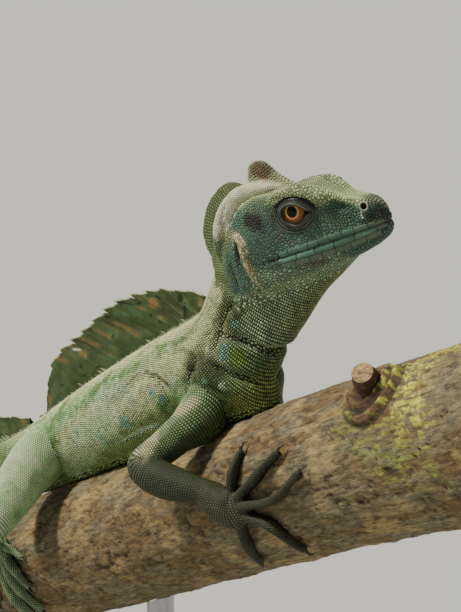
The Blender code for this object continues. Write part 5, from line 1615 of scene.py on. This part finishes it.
def lay_body(made):
    rings = SURFACES["body"]

    def step(base):
        return lambda row: base * (1.0 + 0.75 * ease(row, 150, 260) - 0.35 * ease(row, 330, 540))

    points, ways, rows, turns = even_rows(rings, step(0.00092), step(0.00078))
    stations = np.interp(rows, np.arange(len(BODY_STATIONS)), BODY_STATIONS)
    from_top = np.degrees(np.abs((turns * 2 * math.pi - math.pi / 2 + math.pi) % (2 * math.pi) - math.pi))
    colours = with_marks(points, body_colours(stations, from_top, points), "body", made)
    uneven = 0.25 * wavy(points, 0.0021, 4) + 0.16 * RANDOM.standard_normal(len(points))
    colours = colours * np.clip(1 + uneven, 0.4, 1.5)[:, None]
    colours, rims = finish_colours(points, colours, 0.07)
    on_right = np.cos(turns * 2 * math.pi) < 0
    names = np.where(stations < 6.2, "neck", np.where(stations < TRUNK_END - 1.5, "torso",
                     np.where(stations < TRUNK_END + 30, "tail_root", "tail_end")))
    pieces = np.array([piece_number(f"scales_{n}" + ("_right" if r else "_left") * (n in ("neck", "torso")))
                       for n, r in zip(names, on_right)])
    uvs = cell_uv(0, 1, rows / len(rings), turns)
    size = 0.00043 * (1.0 + 0.75 * ease(rows, 150, 260) - 0.35 * ease(rows, 330, 540))
    lift = 0.00025 * (1 - 0.55 * ease(from_top, 100, 130)) * (1 + 0.8 * ease(rows, 150, 260))
    lay(points, ways, size, lift, colours, rims, uvs, pieces)


def lay_limbs(made):
    for word in ("right", "left"):
        for limb, paw in (("arm", "hand"), ("leg", "foot")):
            names = [f"{limb}_{word}", f"{paw}_{word}", *(f"{paw}_{word}_toe_{k}" for k in range(5))]
            for cell, name in enumerate(names):
                toe, paw_part = "toe" in name, name.startswith(paw)
                row_step, scale_step = (0.00062, 0.00095) if toe else (0.00082, 0.00088)
                points, ways, rows, turns = even_rows(SURFACES[name], row_step, scale_step)
                share = rows / len(SURFACES[name])
                if limb == "leg":
                    colours = blend_stops(share, [(0, "hip"), (0.5, "hip"), (1, "leg")])
                    if paw_part:
                        colours = np.tile(PALETTE["sole" if toe else "leg"], (len(points), 1))
                elif toe:
                    colours = np.tile(PALETTE["paw"] * 0.85, (len(points), 1))
                elif paw_part:
                    colours = blend_stops(share, [(0, "limb"), (0.5, "paw"), (1, "paw")])
                else:
                    # The arm's upward-facing side is painted in the paler colour: painted light on its top.
                    lower = blend_stops(share, [(0, "green"), (0.45, "limb"), (1, "limb")])
                    upper = blend_stops(share, [(0, "hip"), (0.42, "hip"), (0.60, "limb"), (1, "limb")])
                    height = normal_height(points, SURFACES[name], rows)
                    mix = ease(height, -0.2, 0.5)[:, None] * 0.35
                    colours = mixed(lower, upper, mix)
                    colours = with_marks(points, colours, "arm", made)
                if limb == "leg":
                    colours = colours * (1 + 0.25 * wavy(points, 0.0045, 6))[:, None]
                    green = (ease(wavy(points, 0.0060, 5), 0.0, 0.5) * 0.35 + 0.6 * (1 - ease(share, 0.0, 0.22)))
                    green = (green * (0 if paw_part else 1))[:, None]
                    colours = mixed(colours, PALETTE["pale_green"], green)
                    # The leg's downward-facing side is painted darker green: painted shade.
                    under = 1 - ease(normal_height(points, SURFACES[name], rows), -0.55, 0.25)
                    under = (under * (0.2 if paw_part else 0.6))[:, None]
                    colours = mixed(colours, PALETTE["green"], under)
                colours, rims = finish_colours(points, colours, 0.36 if limb == "leg" and not paw_part else 0.10)
                piece = np.full(len(points), piece_number(f"scales_{limb}_{word}"))
                lay(points, ways, 0.00036 if toe else 0.00042, 0.00013 if toe else 0.00016, colours, rims,
                    cell_uv(cell, 7, share, turns), piece, limit=0.0010)


def normal_height(points, rings, rows):
    """How far up each place of a limb faces, from -1 to 1."""
    out = points - middles(rings, rows)
    return out[:, 2] / np.maximum(np.linalg.norm(out, axis=1), 1e-6)


# The head's rows: large plates along the lips, rings round the eye, rows that sweep back along the jaw

# Lines of the lip plates, as heights at places along the head in millimetres
LIP_LINES = {
    "upper_top": [(16, 0.2), (25, 0.6), (35, 1.0), (45, 1.1), (52, 0.8), (57, 0.3)],
    "lower_bottom": [(16, -2.3), (25, -2.9), (35, -3.4), (45, -3.4), (52, -3.0), (57, -2.4)],
    "second_bottom": [(16, -3.6), (25, -4.5), (35, -5.4), (45, -5.3), (52, -4.6), (56, -3.8)],
}
LIP_GAP = 0.035
LIPS_FROM = 23.5
# Plate rows: bottom line, top line, from and to along the head, plate length at the back and at the front
LIP_ROWS = [("mouth", "upper_top", LIPS_FROM, 57.4, 3.0, 4.6), ("lower_bottom", "mouth", LIPS_FROM, 57.4, 6.0, 8.0),
            ("second_bottom", "lower_bottom", LIPS_FROM, 55.5, 4.2, 5.4)]


def lip_line(name, x):
    if name == "mouth":
        return np.full(np.shape(x), MOUTH_HEIGHT * 1000)
    table = np.array(LIP_LINES[name])
    return np.interp(x, table[:, 0], table[:, 1])


def in_labials(points):
    """Whether places of the head lie under the lip plates."""
    x, y, z = on_head(points).T
    low = lip_line("second_bottom", x)
    high = lip_line("upper_top", x)
    return (x > LIPS_FROM) & (x < 57.4) & (z > low + 0.15) & (z < high - 0.15) & (np.abs(y) > 1.2) & (np.abs(y) < 17)


def cast_side(x, z, side):
    """The head's skin seen straight from its side, in millimetres along and up the head."""
    start = in_head(mm([x, 26 * side, z]))
    hit, _, face, _ = SKIN_TREE.ray_cast(Vector(start), Vector(HEAD_AXES[1] * -side), 0.026)
    return (None, None) if hit is None else (np.array(hit), SKIN_FACE_NORMALS[face])


def build_lip_plates(side, material):
    points, faces, paint, start = [], [], [], 0
    across, over = 22, 11
    for bottom, top, begin, end, back_length, front_length in LIP_ROWS:
        x = begin + RANDOM.random()
        while x < end - 0.8:
            length = np.interp(x, [begin, end], [back_length, front_length]) * (0.9 + 0.2 * RANDOM.random())
            far = min(x + length, end)
            tone, grid, ok = 0.88 + 0.24 * RANDOM.random(), [], True
            slant = RANDOM.uniform(-0.3, 0.5)
            for v in np.linspace(0, 1, over):
                for u in np.linspace(0, 1, across):
                    corner = 1 - 0.14 * (abs(2 * u - 1) ** 12)
                    level = 0.5 + (v - 0.5) * corner
                    px = x + LIP_GAP * 0.5 + (far - x - LIP_GAP) * u + slant * (v - 0.5)
                    low, high = lip_line(bottom, px) + LIP_GAP * 0.7, lip_line(top, px) - LIP_GAP * 0.7
                    place, normal = cast_side(px, low + (high - low) * level, side)
                    if place is None:
                        ok = False
                        break
                    dome = (1 - abs(2 * u - 1) ** 14) * (1 - abs(2 * v - 1) ** 6)
                    grid.append((place + normal * (0.00015 * dome - 0.00004), dome))
                if not ok:
                    break
            if ok:
                places = np.array([g[0] for g in grid])
                dome = np.array([g[1] for g in grid])[:, None]
                base = np.tile(PALETTE["labial"] * tone, (len(places), 1))
                base = mixed(base, PALETTE["brown"], 0.5 * ease(x, 44, 58))
                if bottom == "second_bottom":
                    base = base * 0.7 + PALETTE["brown"] * 0.3 * tone
                points.append(places)
                paint.append(base * (0.66 + 0.34 * ease(dome, 0.03, 0.45)))
                faces.append(grid_faces(over, across, closed=False, start=start))
                start += len(places)
            x = far
    word = "left" if side == 1 else "right"
    points, paint = np.vstack(points), np.vstack(paint)
    plates = mesh_object(f"lip_plates_{word}", points, np.vstack(faces))
    set_paint(plates, paint * (1 + 0.08 * wavy(points, 0.0009, 4)[:, None]))
    dress(plates, material)


def head_uv(points):
    x, y, z = on_head(points).T
    return cell_uv(0, 9, np.clip((x + 10) / 72, 0, 1), (np.arctan2(z - 3, y) / (2 * math.pi)) % 1.0)


def head_piece(points):
    y = (points - SKULL_BASE) @ HEAD_AXES[1]
    return np.where(y > 0, piece_number("scales_head_left"), piece_number("scales_head_right"))


def head_base(points):
    """The head's ground colours before its markings."""
    x, _, z = on_head(points).T
    crown = np.interp(x, [0, 10, 20, 26, 38, 50], [14.0, 17.0, 17.4, 15.6, 12.5, 8.4])
    colours = PALETTE["teal"]
    for name, amount in (("crown", ease(z, crown - 1.0, crown + 1.2)), ("throat", 1 - ease(z, -11.5, -7.0)),
                         ("lobe", 1 - ease(x, 0, 5))):
        colours = mixed(colours, PALETTE[name], amount[:, None])
    return colours


HEAD_LIMIT = 0.0015  # how far a place may lie from the skin that takes it


def lay_head(points, ways, size, lift, made, contrast=0.25, base=None):
    colours = head_base(points) if base is None else np.tile(PALETTE[base], (len(points), 1))
    colours = with_marks(points, colours, "head", made)
    colours, rims = finish_colours(points, colours, contrast)
    lay(points, ways, size, lift, colours, rims, head_uv(points), head_piece(points), HEAD_LIMIT)


# The lie of the head's scales: place and direction in the photo's frame, length and width in millimetres, and
# how much darker the skin between them is
LIES = [
    (276, 226, 0.7, 0.7, 1.7, 0.50, 0.45), (285, 232, 1.0, 0.4, 1.9, 0.50, 0.45),
    (300, 232, 1.0, -0.2, 1.9, 0.50, 0.45), (312, 227, 1.0, -0.7, 1.8, 0.52, 0.45),
    (322, 216, 0.6, -1.0, 1.4, 0.55, 0.40), (325, 226, 1.0, -0.75, 1.5, 0.60, 0.40),
    (338, 214, 1.0, -0.8, 1.1, 0.75, 0.30), (350, 216, 1.0, -0.6, 1.0, 0.78, 0.30),
    (335, 206, 1.0, 0.1, 1.0, 0.70, 0.28), (280, 240, 1.0, 0.1, 2.1, 0.50, 0.50),
    (300, 240, 1.0, -0.3, 2.2, 0.55, 0.50), (320, 234, 1.0, -0.4, 2.0, 0.62, 0.45),
    (340, 228, 1.0, -0.4, 1.6, 0.70, 0.40), (365, 222, 1.0, -0.4, 1.1, 0.75, 0.35),
    (376, 212, 1.0, -0.2, 0.95, 0.8, 0.30), (262, 240, 1.0, 0.5, 1.9, 0.48, 0.50),
    (270, 250, 1.0, -0.1, 2.0, 0.50, 0.50), (264, 258, 0.9, -0.5, 2.0, 0.50, 0.50),
    (255, 252, 0.35, 1.0, 2.0, 0.45, 0.50), (250, 244, 0.15, 1.0, 1.9, 0.46, 0.50),
    (247, 235, 0.1, 1.0, 1.5, 0.55, 0.45), (258, 234, 0.5, 0.9, 1.3, 0.60, 0.40),
    (268, 226, 0.5, 1.0, 1.3, 0.58, 0.40), (264, 214, 0.3, 1.0, 1.0, 0.75, 0.35),
    (250, 219, 1.0, 0.3, 1.35, 0.95, 0.16), (257, 226, 1.0, 0.4, 1.2, 0.85, 0.18),
    (244, 226, 0.4, 1.0, 1.1, 0.8, 0.25), (250, 206, 1.0, -0.3, 0.85, 0.70, 0.32),
    (264, 201, 1.0, -0.3, 0.80, 0.66, 0.34), (238, 214, 0.5, -1.0, 0.85, 0.7, 0.3),
    (240, 248, 0.3, 1.0, 2.4, 0.42, 0.60), (246, 266, 0.4, 1.0, 2.4, 0.42, 0.60),
    (252, 278, 0.5, 1.0, 2.2, 0.45, 0.55), (270, 268, 1.0, -0.35, 2.2, 0.62, 0.42),
    (290, 262, 1.0, -0.30, 2.3, 0.70, 0.40), (320, 256, 1.0, -0.3, 2.2, 0.80, 0.38),
    (350, 246, 1.0, -0.45, 1.9, 0.85, 0.35), (372, 234, 1.0, -0.5, 1.4, 0.85, 0.35),
    (262, 284, 1.0, -0.4, 2.1, 0.85, 0.30), (290, 276, 1.0, -0.35, 2.1, 0.90, 0.30),
    (320, 268, 1.0, -0.35, 1.8, 0.90, 0.30), (235, 280, 0.5, 1.0, 1.2, 0.75, 0.30),
    (226, 250, 0.3, 1.0, 1.1, 0.8, 0.28), (292, 196, 1.0, 0.0, 1.2, 0.55, 0.35),
    (312, 188, 1.0, 0.2, 0.85, 0.72, 0.3),
]
SIDE_SPAN = ((2.0, 57.5), (-13.0, 17.0))  # along the head and up it, in millimetres
SIDE_TRIES = 60000


def lie_field():
    """Each entry of the table as a place and a direction along and up the head, length, width and darkness."""
    table = []
    for u, v, du, dv, length, width, dark in LIES:
        ends = [cast(SKIN_TREE, u + du * k, v + dv * k) for k in (0, -1.5, 1.5)]
        if any(end is None for end in ends):
            continue
        middle, a, b = ((end - SKULL_BASE) @ HEAD_AXES[[0, 2]].T * 1000 for end in ends)
        table.append([*middle, *unit(b - a), length, width, dark])
    return np.array(table)


def lie_at(field, places):
    """Direction, length, width and darkness at places, carried between the table's entries."""
    distance = np.linalg.norm(places[:, None] - field[None, :, :2], axis=2)
    weight = 1 / (distance + 0.35) ** 3
    weight /= weight.sum(1, keepdims=True)
    turn = np.arctan2(field[:, 3], field[:, 2]) * 2
    mean = np.arctan2(weight @ np.sin(turn), weight @ np.cos(turn)) / 2
    return mean, *(weight @ field[:, 4:7]).T


def lay_side(side, field, made):
    """Scales over the head's side, drawn out along their lie, none nearer another than their size allows."""
    (x0, x1), (z0, z1) = SIDE_SPAN
    places = np.column_stack([RANDOM.uniform(x0, x1, SIDE_TRIES), RANDOM.uniform(z0, z1, SIDE_TRIES)])
    turn, length, width, dark = lie_at(field, places)
    cells, chosen = {}, []
    for k in range(SIDE_TRIES):
        px, pz = places[k]
        c, sn, a, b = math.cos(turn[k]), math.sin(turn[k]), 0.93 / length[k], 0.93 / width[k]
        key = (int(px), int(pz + 100))
        free = True
        for i in range(key[0] - 3, key[0] + 4):
            for j in range(key[1] - 3, key[1] + 4):
                for qx, qz in cells.get((i, j), ()):
                    dx, dz = px - qx, pz - qz
                    if ((dx * c + dz * sn) * a) ** 2 + ((dz * c - dx * sn) * b) ** 2 < 1:
                        free = False
                        break
                if not free:
                    break
            if not free:
                break
        if free:
            cells.setdefault(key, []).append((px, pz))
            chosen.append(k)
    kept, points, ways = [], [], []
    for k in chosen:
        place, normal = cast_side(*places[k], side)
        if place is None or abs(normal @ HEAD_AXES[1]) < 0.30:
            continue
        way = math.cos(turn[k]) * HEAD_AXES[0] + math.sin(turn[k]) * HEAD_AXES[2]
        kept.append(k)
        points.append(place)
        ways.append(-way if way @ HEAD_AXES[0] > 0 else way)
    points, ways = np.array(points), np.array(ways)
    colours = with_marks(points, head_base(points), "head", made)
    colours, rims = finish_colours(points, colours, 1.0)
    rims = rims * dark[kept][:, None]
    mean = np.sqrt(length[kept] * width[kept])
    lift = 0.00009 + 0.00010 * ease(width[kept], 0.55, 0.95)
    lay(points, ways, length[kept] * 0.00034 + width[kept] * 0.0001, lift, colours, rims, head_uv(points),
        head_piece(points), HEAD_LIMIT, aside=mean * 0.00040, aspect=length[kept] / width[kept])


def lay_whole_head(made):
    field = lie_field()
    for side in (1, -1):
        lay_side(side, field, made)
    # The casque's ridges, with fine rows across them
    for side, word in ((1, "left"), (-1, "right")):
        lay_head(*even_rows(SURFACES[f"casque_{word}"], 0.00064, 0.00080)[:2], 0.00034, 0.00020, made, contrast=0.60)
        lay_head(*even_rows(SURFACES[f"fold_{word}"], 0.00070, 0.00075)[:2], 0.00035, 0.00013, made)
    for name, row_step, scale_step, size, lift, base in (("lobe_rear", 0.00095, 0.00085, 0.00044, 0.00016, "lobe"),
                                                         ("lobe_front", 0.00085, 0.0009, 0.00042, 0.00024, "crown")):
        lay_head(*even_rows(SURFACES[name], row_step, scale_step)[:2], size, lift, made, base=base)
    # Cobbles over the top of the head and snout, then whatever is left of its own sections
    points, ways = even_rows(SURFACES["head"], 0.00080, 0.00084, skip=0.0002)[:2]
    lay_head(points, -ways, 0.00041, np.where(on_head(points)[:, 2] > 8, 0.00022, 0.00015), made)


def fill_bare_skin(spacing=0.00088):
    """Scales wherever the rows have left the skin bare, coloured like their neighbours."""
    laid = {field: np.concatenate(SEEDS[field]) for field in SEED_FIELDS}
    tree = nearest_of(laid["point"])
    points, normals, _ = mesh_arrays(SKIN)
    order = RANDOM.permutation(len(points))
    hidden = in_labials(points) | in_sockets(points)
    cells, chosen, nearest = {}, [], []
    for k in order:
        if hidden[k]:
            continue
        p = points[k]
        _, other, distance = tree.find(Vector(p))
        if distance < spacing * 0.92 + laid["size"][other] * 0.35:
            continue
        key = tuple((p / spacing).astype(int))
        near = False
        for dx in (-1, 0, 1):
            for dy in (-1, 0, 1):
                for dz in (-1, 0, 1):
                    for q in cells.get((key[0] + dx, key[1] + dy, key[2] + dz), ()):
                        near = near or np.dot(p - q, p - q) < spacing**2
        if not near:
            cells.setdefault(key, []).append(p)
            chosen.append(k)
            nearest.append(other)
    nearest = np.array(nearest)
    offset = (points[chosen] - laid["point"][nearest])[:, :2] * 0.5
    fields = {field: laid[field][nearest] for field in SEED_FIELDS}
    fields.update(point=points[chosen], normal=normals[chosen], size=np.full(len(chosen), spacing * 0.5),
                  aspect=np.ones(len(chosen)),
                  uv=laid["uv"][nearest] + offset)
    for field in SEED_FIELDS:
        SEEDS[field].append(fields[field])


def in_sockets(points):
    """Whether places lie behind the lids or in a nostril."""
    inside = np.zeros(len(points), bool)
    for side in (1, -1):
        long_way, short_way, outward = eye_frame(side)
        rel = points - on_side(EYE_CENTRE, side)
        reach = lid_share(rel @ long_way, rel @ short_way) * 1.05
        inside |= (reach < 1) & (rel @ outward > -0.001)
        rel = points - on_side(NOSTRIL, side)
        across, over, out = nostril_axes(side)
        inside |= (np.hypot(rel @ across, rel @ over) < 0.0012) & (np.abs(rel @ out) < 0.0025)
    return inside


SCALE_CORNERS = 7
SCALE_GAP = 0.00007
SCALE_SINK = 0.00007  # of a scale's rim into the skin
SCALE_PATCH = 0.0015  # half the width of a scale's patch on the unwrap
NEIGHBOURS = 13


def build_scales(material):
    """Every scale as a low dome that reaches half way to its neighbours and rises towards its rear edge."""
    s = {field: np.concatenate(SEEDS[field]) for field in SEED_FIELDS}
    keep = ~in_sockets(s["point"]) | (s["lift"] < 0.00009)
    s = {field: values[keep] for field, values in s.items()}
    count = len(s["point"])
    tree = nearest_of(s["point"])
    index = np.array([[f[1] for f in tree.find_n(p, NEIGHBOURS + 1)][1:] for p in s["point"]])
    normal = s["normal"] / np.linalg.norm(s["normal"], axis=1)[:, None]
    way = s["way"] - normal * (s["way"] * normal).sum(1)[:, None]
    way /= np.maximum(np.linalg.norm(way, axis=1), 1e-9)[:, None]
    side = np.cross(normal, way)
    rel = s["point"][index] - s["point"][:, None]
    x, y = np.einsum("nkc,nc->nk", rel, way), np.einsum("nkc,nc->nk", rel, side)
    distance = np.maximum(np.hypot(x, y), 1e-6)
    weight = s["size"][:, None] / (s["size"][:, None] + s["size"][index])
    facing = np.einsum("nkc,nc->nk", normal[index], normal) > 0.1
    angle = round_turns(SCALE_CORNERS)
    angle = angle + RANDOM.random((count, 1)) * (0.9 / s["aspect"][:, None] ** 1.5)
    angle = np.arctan2(np.sin(angle), np.cos(angle) * s["aspect"][:, None])
    reach = s["size"][:, None] * np.full((1, SCALE_CORNERS), 1.7)
    for k in range(NEIGHBOURS):
        cosine = (np.cos(angle) * (x / distance)[:, k:k + 1] + np.sin(angle) * (y / distance)[:, k:k + 1])
        bound = (distance * weight)[:, k:k + 1] / np.maximum(cosine, 0.15)
        reach = np.where((cosine > 0.15) & facing[:, k:k + 1], np.minimum(reach, bound), reach)
    reach = np.maximum(reach - SCALE_GAP, s["size"][:, None] * 0.25)
    rear = np.cos(angle)
    flat = way[:, None] * (np.cos(angle) * reach)[..., None] + side[:, None] * (np.sin(angle) * reach)[..., None]
    lift = s["lift"][:, None]
    outer = s["point"][:, None] + flat - normal[:, None] * SCALE_SINK
    inner = s["point"][:, None] + flat * 0.66 + normal[:, None] * (lift * (0.78 + 0.34 * rear))[..., None]
    apex = s["point"] + way * (reach.mean(1) * 0.18)[:, None] + normal * (lift[:, 0] * 1.08)[:, None]
    n = SCALE_CORNERS
    points = np.concatenate([outer, inner, apex[:, None]], axis=1)
    # Each scale is painted paler on its top, and a round one also towards its raised rear edge: painted highlight. Its
    # rim takes the darker skin between scales.
    tone = 0.86 + 0.12 * (rear * (s["aspect"][:, None] < 1.4))[..., None] + 0.06 * (s["aspect"] - 1)[:, None, None]
    painted_top_highlight = np.where(s["aspect"] > 1.4, 1.06, 1.22)[:, None, None]
    paint = np.concatenate([np.tile(s["rim"][:, None], (1, n, 1)), s["colour"][:, None] * tone,
                            s["colour"][:, None] * painted_top_highlight], axis=1)
    circle = np.stack([np.cos(angle), np.sin(angle)], axis=-1)
    uv = np.concatenate([s["uv"][:, None] + circle * SCALE_PATCH, s["uv"][:, None] + circle * SCALE_PATCH * 0.7,
                         s["uv"][:, None]], axis=1)
    k = np.arange(n)
    m = (k + 1) % n
    local = np.concatenate([np.stack([k, m, n + m], 1), np.stack([k, n + m, n + k], 1),
                            np.stack([n + k, n + m, np.full(n, 2 * n)], 1)])
    for number, name in enumerate(PIECES):
        chosen = np.flatnonzero(s["piece"] == number)
        if not len(chosen):
            continue
        faces = (local[None] + (np.arange(len(chosen)) * (2 * n + 1))[:, None, None]).reshape(-1, 3)
        coat = mesh_object(name, points[chosen].reshape(-1, 3), faces)
        set_paint(coat, paint[chosen].reshape(-1, 3))
        layer = coat.data.uv_layers.new(name="OFBake")
        layer.data.foreach_set("uv", np.clip(uv[chosen].reshape(-1, 2)[faces.ravel()], 0, 1).ravel())
        dress(coat, material)
    return s


def paint_skin(scales):
    """The skin between the scales takes the dark of the nearest ones."""
    points = mesh_arrays(SKIN)[0]
    tree = nearest_of(scales["point"])
    colours = np.empty((len(points), 3))
    for k, p in enumerate(points):
        found = tree.find_n(Vector(p), 3)
        colours[k] = np.mean([scales["rim"][f[1]] for f in found], axis=0)
    x, y, z = on_head(points).T
    lips = in_labials(points)
    colours[lips] = PALETTE["deep_teal"] * 0.6
    # The mouth's closed line, the nostrils' insides and the skin behind the lids are painted near black: painted shade.
    gape = (x > 18) & (x < 60) & (np.abs(z - MOUTH_HEIGHT * 1000) < 0.45) & (np.abs(y) < 17)
    colours[gape] = (0.012, 0.012, 0.009)
    colours[in_sockets(points)] = (0.012, 0.012, 0.010)
    set_paint(SKIN, colours)


def build_lids(material, smooth_tree):
    """Both eyes' lids, with fine granules along their folds, and the pale rings of the nostrils."""
    for side, word in ((1, "left"), (-1, "right")):
        points, shares, angle = lid_points(side, smooth_tree)
        lids = mesh_object(f"lids_{word}", points.reshape(-1, 3), grid_faces(*points.shape[:2]))
        set_paint(lids, lid_colours(shares, angle).reshape(-1, 3) * 0.8)
        dress(lids, material)
        flat, colours = points.reshape(-1, 3), lid_colours(shares, angle).reshape(-1, 3)
        normals = mesh_arrays(lids)[1]
        if normals[len(normals) // 2] @ eye_frame(side)[2] < 0:
            normals = -normals
        chosen, spacing, last = [], 0.00046, None
        centre = on_side(EYE_CENTRE, side)
        for row in range(5, len(shares) - 2):
            if last is not None and np.linalg.norm(points[row] - last, axis=1).mean() < spacing:
                continue
            last = points[row]
            ring = np.linalg.norm(np.diff(points[row], axis=0, append=points[row][:1]), axis=1)
            reach = np.concatenate([[0], np.cumsum(ring)])
            count = int(reach[-1] / 0.00062)
            marks = (np.arange(count) + 0.5 * (row % 2)) / count * reach[-1]
            chosen += [row * LID_TURNS + int(np.searchsorted(reach, mark)) % LID_TURNS for mark in marks]
        chosen = np.unique(chosen)
        ways = np.cross(normals[chosen], flat[chosen] - centre)
        colours = colours[chosen] * 1.25
        colours, rims = finish_colours(flat[chosen], colours, 0.32)
        lay(flat[chosen], ways, 0.00026, 0.00008, colours, rims, head_uv(flat[chosen]),
            head_piece(flat[chosen]), normals=normals[chosen])
        across, over, out = nostril_axes(side)
        place = on_side(NOSTRIL, side) + out * 0.00085
        turn = round_turns(40)
        path = place + 0.00122 * (np.outer(np.cos(turn), across) + np.outer(np.sin(turn), over) * 1.1)
        loop = []
        for p in path:
            away = unit(p - place)
            small = round_turns(14)
            loop.append(p + 0.00028 * (np.outer(np.cos(small), away) + np.outer(np.sin(small), out)))
        loop = np.array(loop + [loop[0]])
        ring = mesh_object(f"nostril_ring_{word}", loop.reshape(-1, 3), grid_faces(*loop.shape[:2]))
        set_paint(ring, np.tile((0.30, 0.31, 0.24), (len(loop) * loop.shape[1], 1)))
        dress(ring, material)


SCALE_SKIN = painted("scale_skin", roughness=(0.38, 0.58), grain=2600.0, bump=0.25, variation=0.14,
                     Specular_IOR_Level=0.3)
BARE_SKIN = painted("bare_skin", roughness=(0.6, 0.8), grain=2200.0, bump=0.3, variation=0.2)
LID_SKIN = painted("lid_skin", roughness=(0.35, 0.5), grain=3200.0, bump=0.3, variation=0.18)
SAIL_SKIN = painted("sail_skin", roughness=(0.45, 0.65), grain=1500.0, bump=0.5, variation=0.2,
                    Specular_IOR_Level=0.12)
HORN = painted("horn", roughness=(0.4, 0.6), grain=1800.0, bump=0.2, variation=0.2)
WET = painted("wet_eye", roughness=(0.05, 0.08), bump=0.0, variation=0.0, Coat_Weight=0.18, Coat_Roughness=0.02,
              Specular_IOR_Level=0.1)


def claw_material():
    material, tree, shader = material_nodes("claw", 0.3)
    streak = noise_of(tree, 700, 3)
    tree.links.new(ramp_of(tree, streak, [(0.3, (0.014, 0.011, 0.008)), (0.7, (0.060, 0.046, 0.030))]),
                   shader.inputs["Base Color"])
    tree.links.new(bump_of(tree, streak, 0.2, 0.0002), shader.inputs["Normal"])
    return material


def dress_stand():
    """The base's black stained wood and the rods' brushed steel."""
    material, tree, shader = material_nodes("stained_wood", 0.35)
    grain = noise_of(tree, 26, 5, stretch=(0.35, 5.0, 5.0))
    tree.links.new(ramp_of(tree, grain, [(0.3, (0.014, 0.012, 0.010)), (0.7, (0.045, 0.038, 0.032))]),
                   shader.inputs["Base Color"])
    tree.links.new(range_of(tree, grain, 0.3, 0.7, 0.28, 0.45), shader.inputs["Roughness"])
    fine = noise_of(tree, 120, 5, stretch=(0.3, 6.0, 6.0))
    tree.links.new(bump_of(tree, fine, 0.15, 0.0005), shader.inputs["Normal"])
    steel, tree, shader = material_nodes("brushed_steel", 0.3, Metallic=1.0)
    brush = noise_of(tree, 300, 4, stretch=(8.0, 8.0, 0.4))
    tree.links.new(ramp_of(tree, brush, [(0.3, (0.30, 0.30, 0.31)), (0.7, (0.46, 0.46, 0.47))]),
                   shader.inputs["Base Color"])
    tree.links.new(range_of(tree, brush, 0.3, 0.7, 0.24, 0.42), shader.inputs["Roughness"])
    for name, finish in (("stand_base", material), ("stand_rod_front", steel), ("stand_rod_rear", steel)):
        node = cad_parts[name]
        node.data.materials.clear()
        node.data.materials.append(finish)


SKIN_SHARE_KEPT = 0.5  # of its faces, once the scales are laid
MADE = marks_of(SKIN_TREE)
FLESH = [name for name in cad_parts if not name.startswith(("perch", "stand", "eye", "crest_back", "crest_tail"))]
dress(SKIN, BARE_SKIN, FLESH)
build_lids(LID_SKIN, SMOOTH_TREE)
for side in (1, -1):
    build_eye(side, WET)
    build_lip_plates(side, SCALE_SKIN)
lay_whole_head(MADE)
lay_body(MADE)
lay_limbs(MADE)
fill_bare_skin()
lighten(SKIN, SKIN_SHARE_KEPT)
paint_skin(build_scales(SCALE_SKIN))
build_crests(SAIL_SKIN, HORN)
build_claws(claw_material())
build_branch(bark_material())
dress_stand()
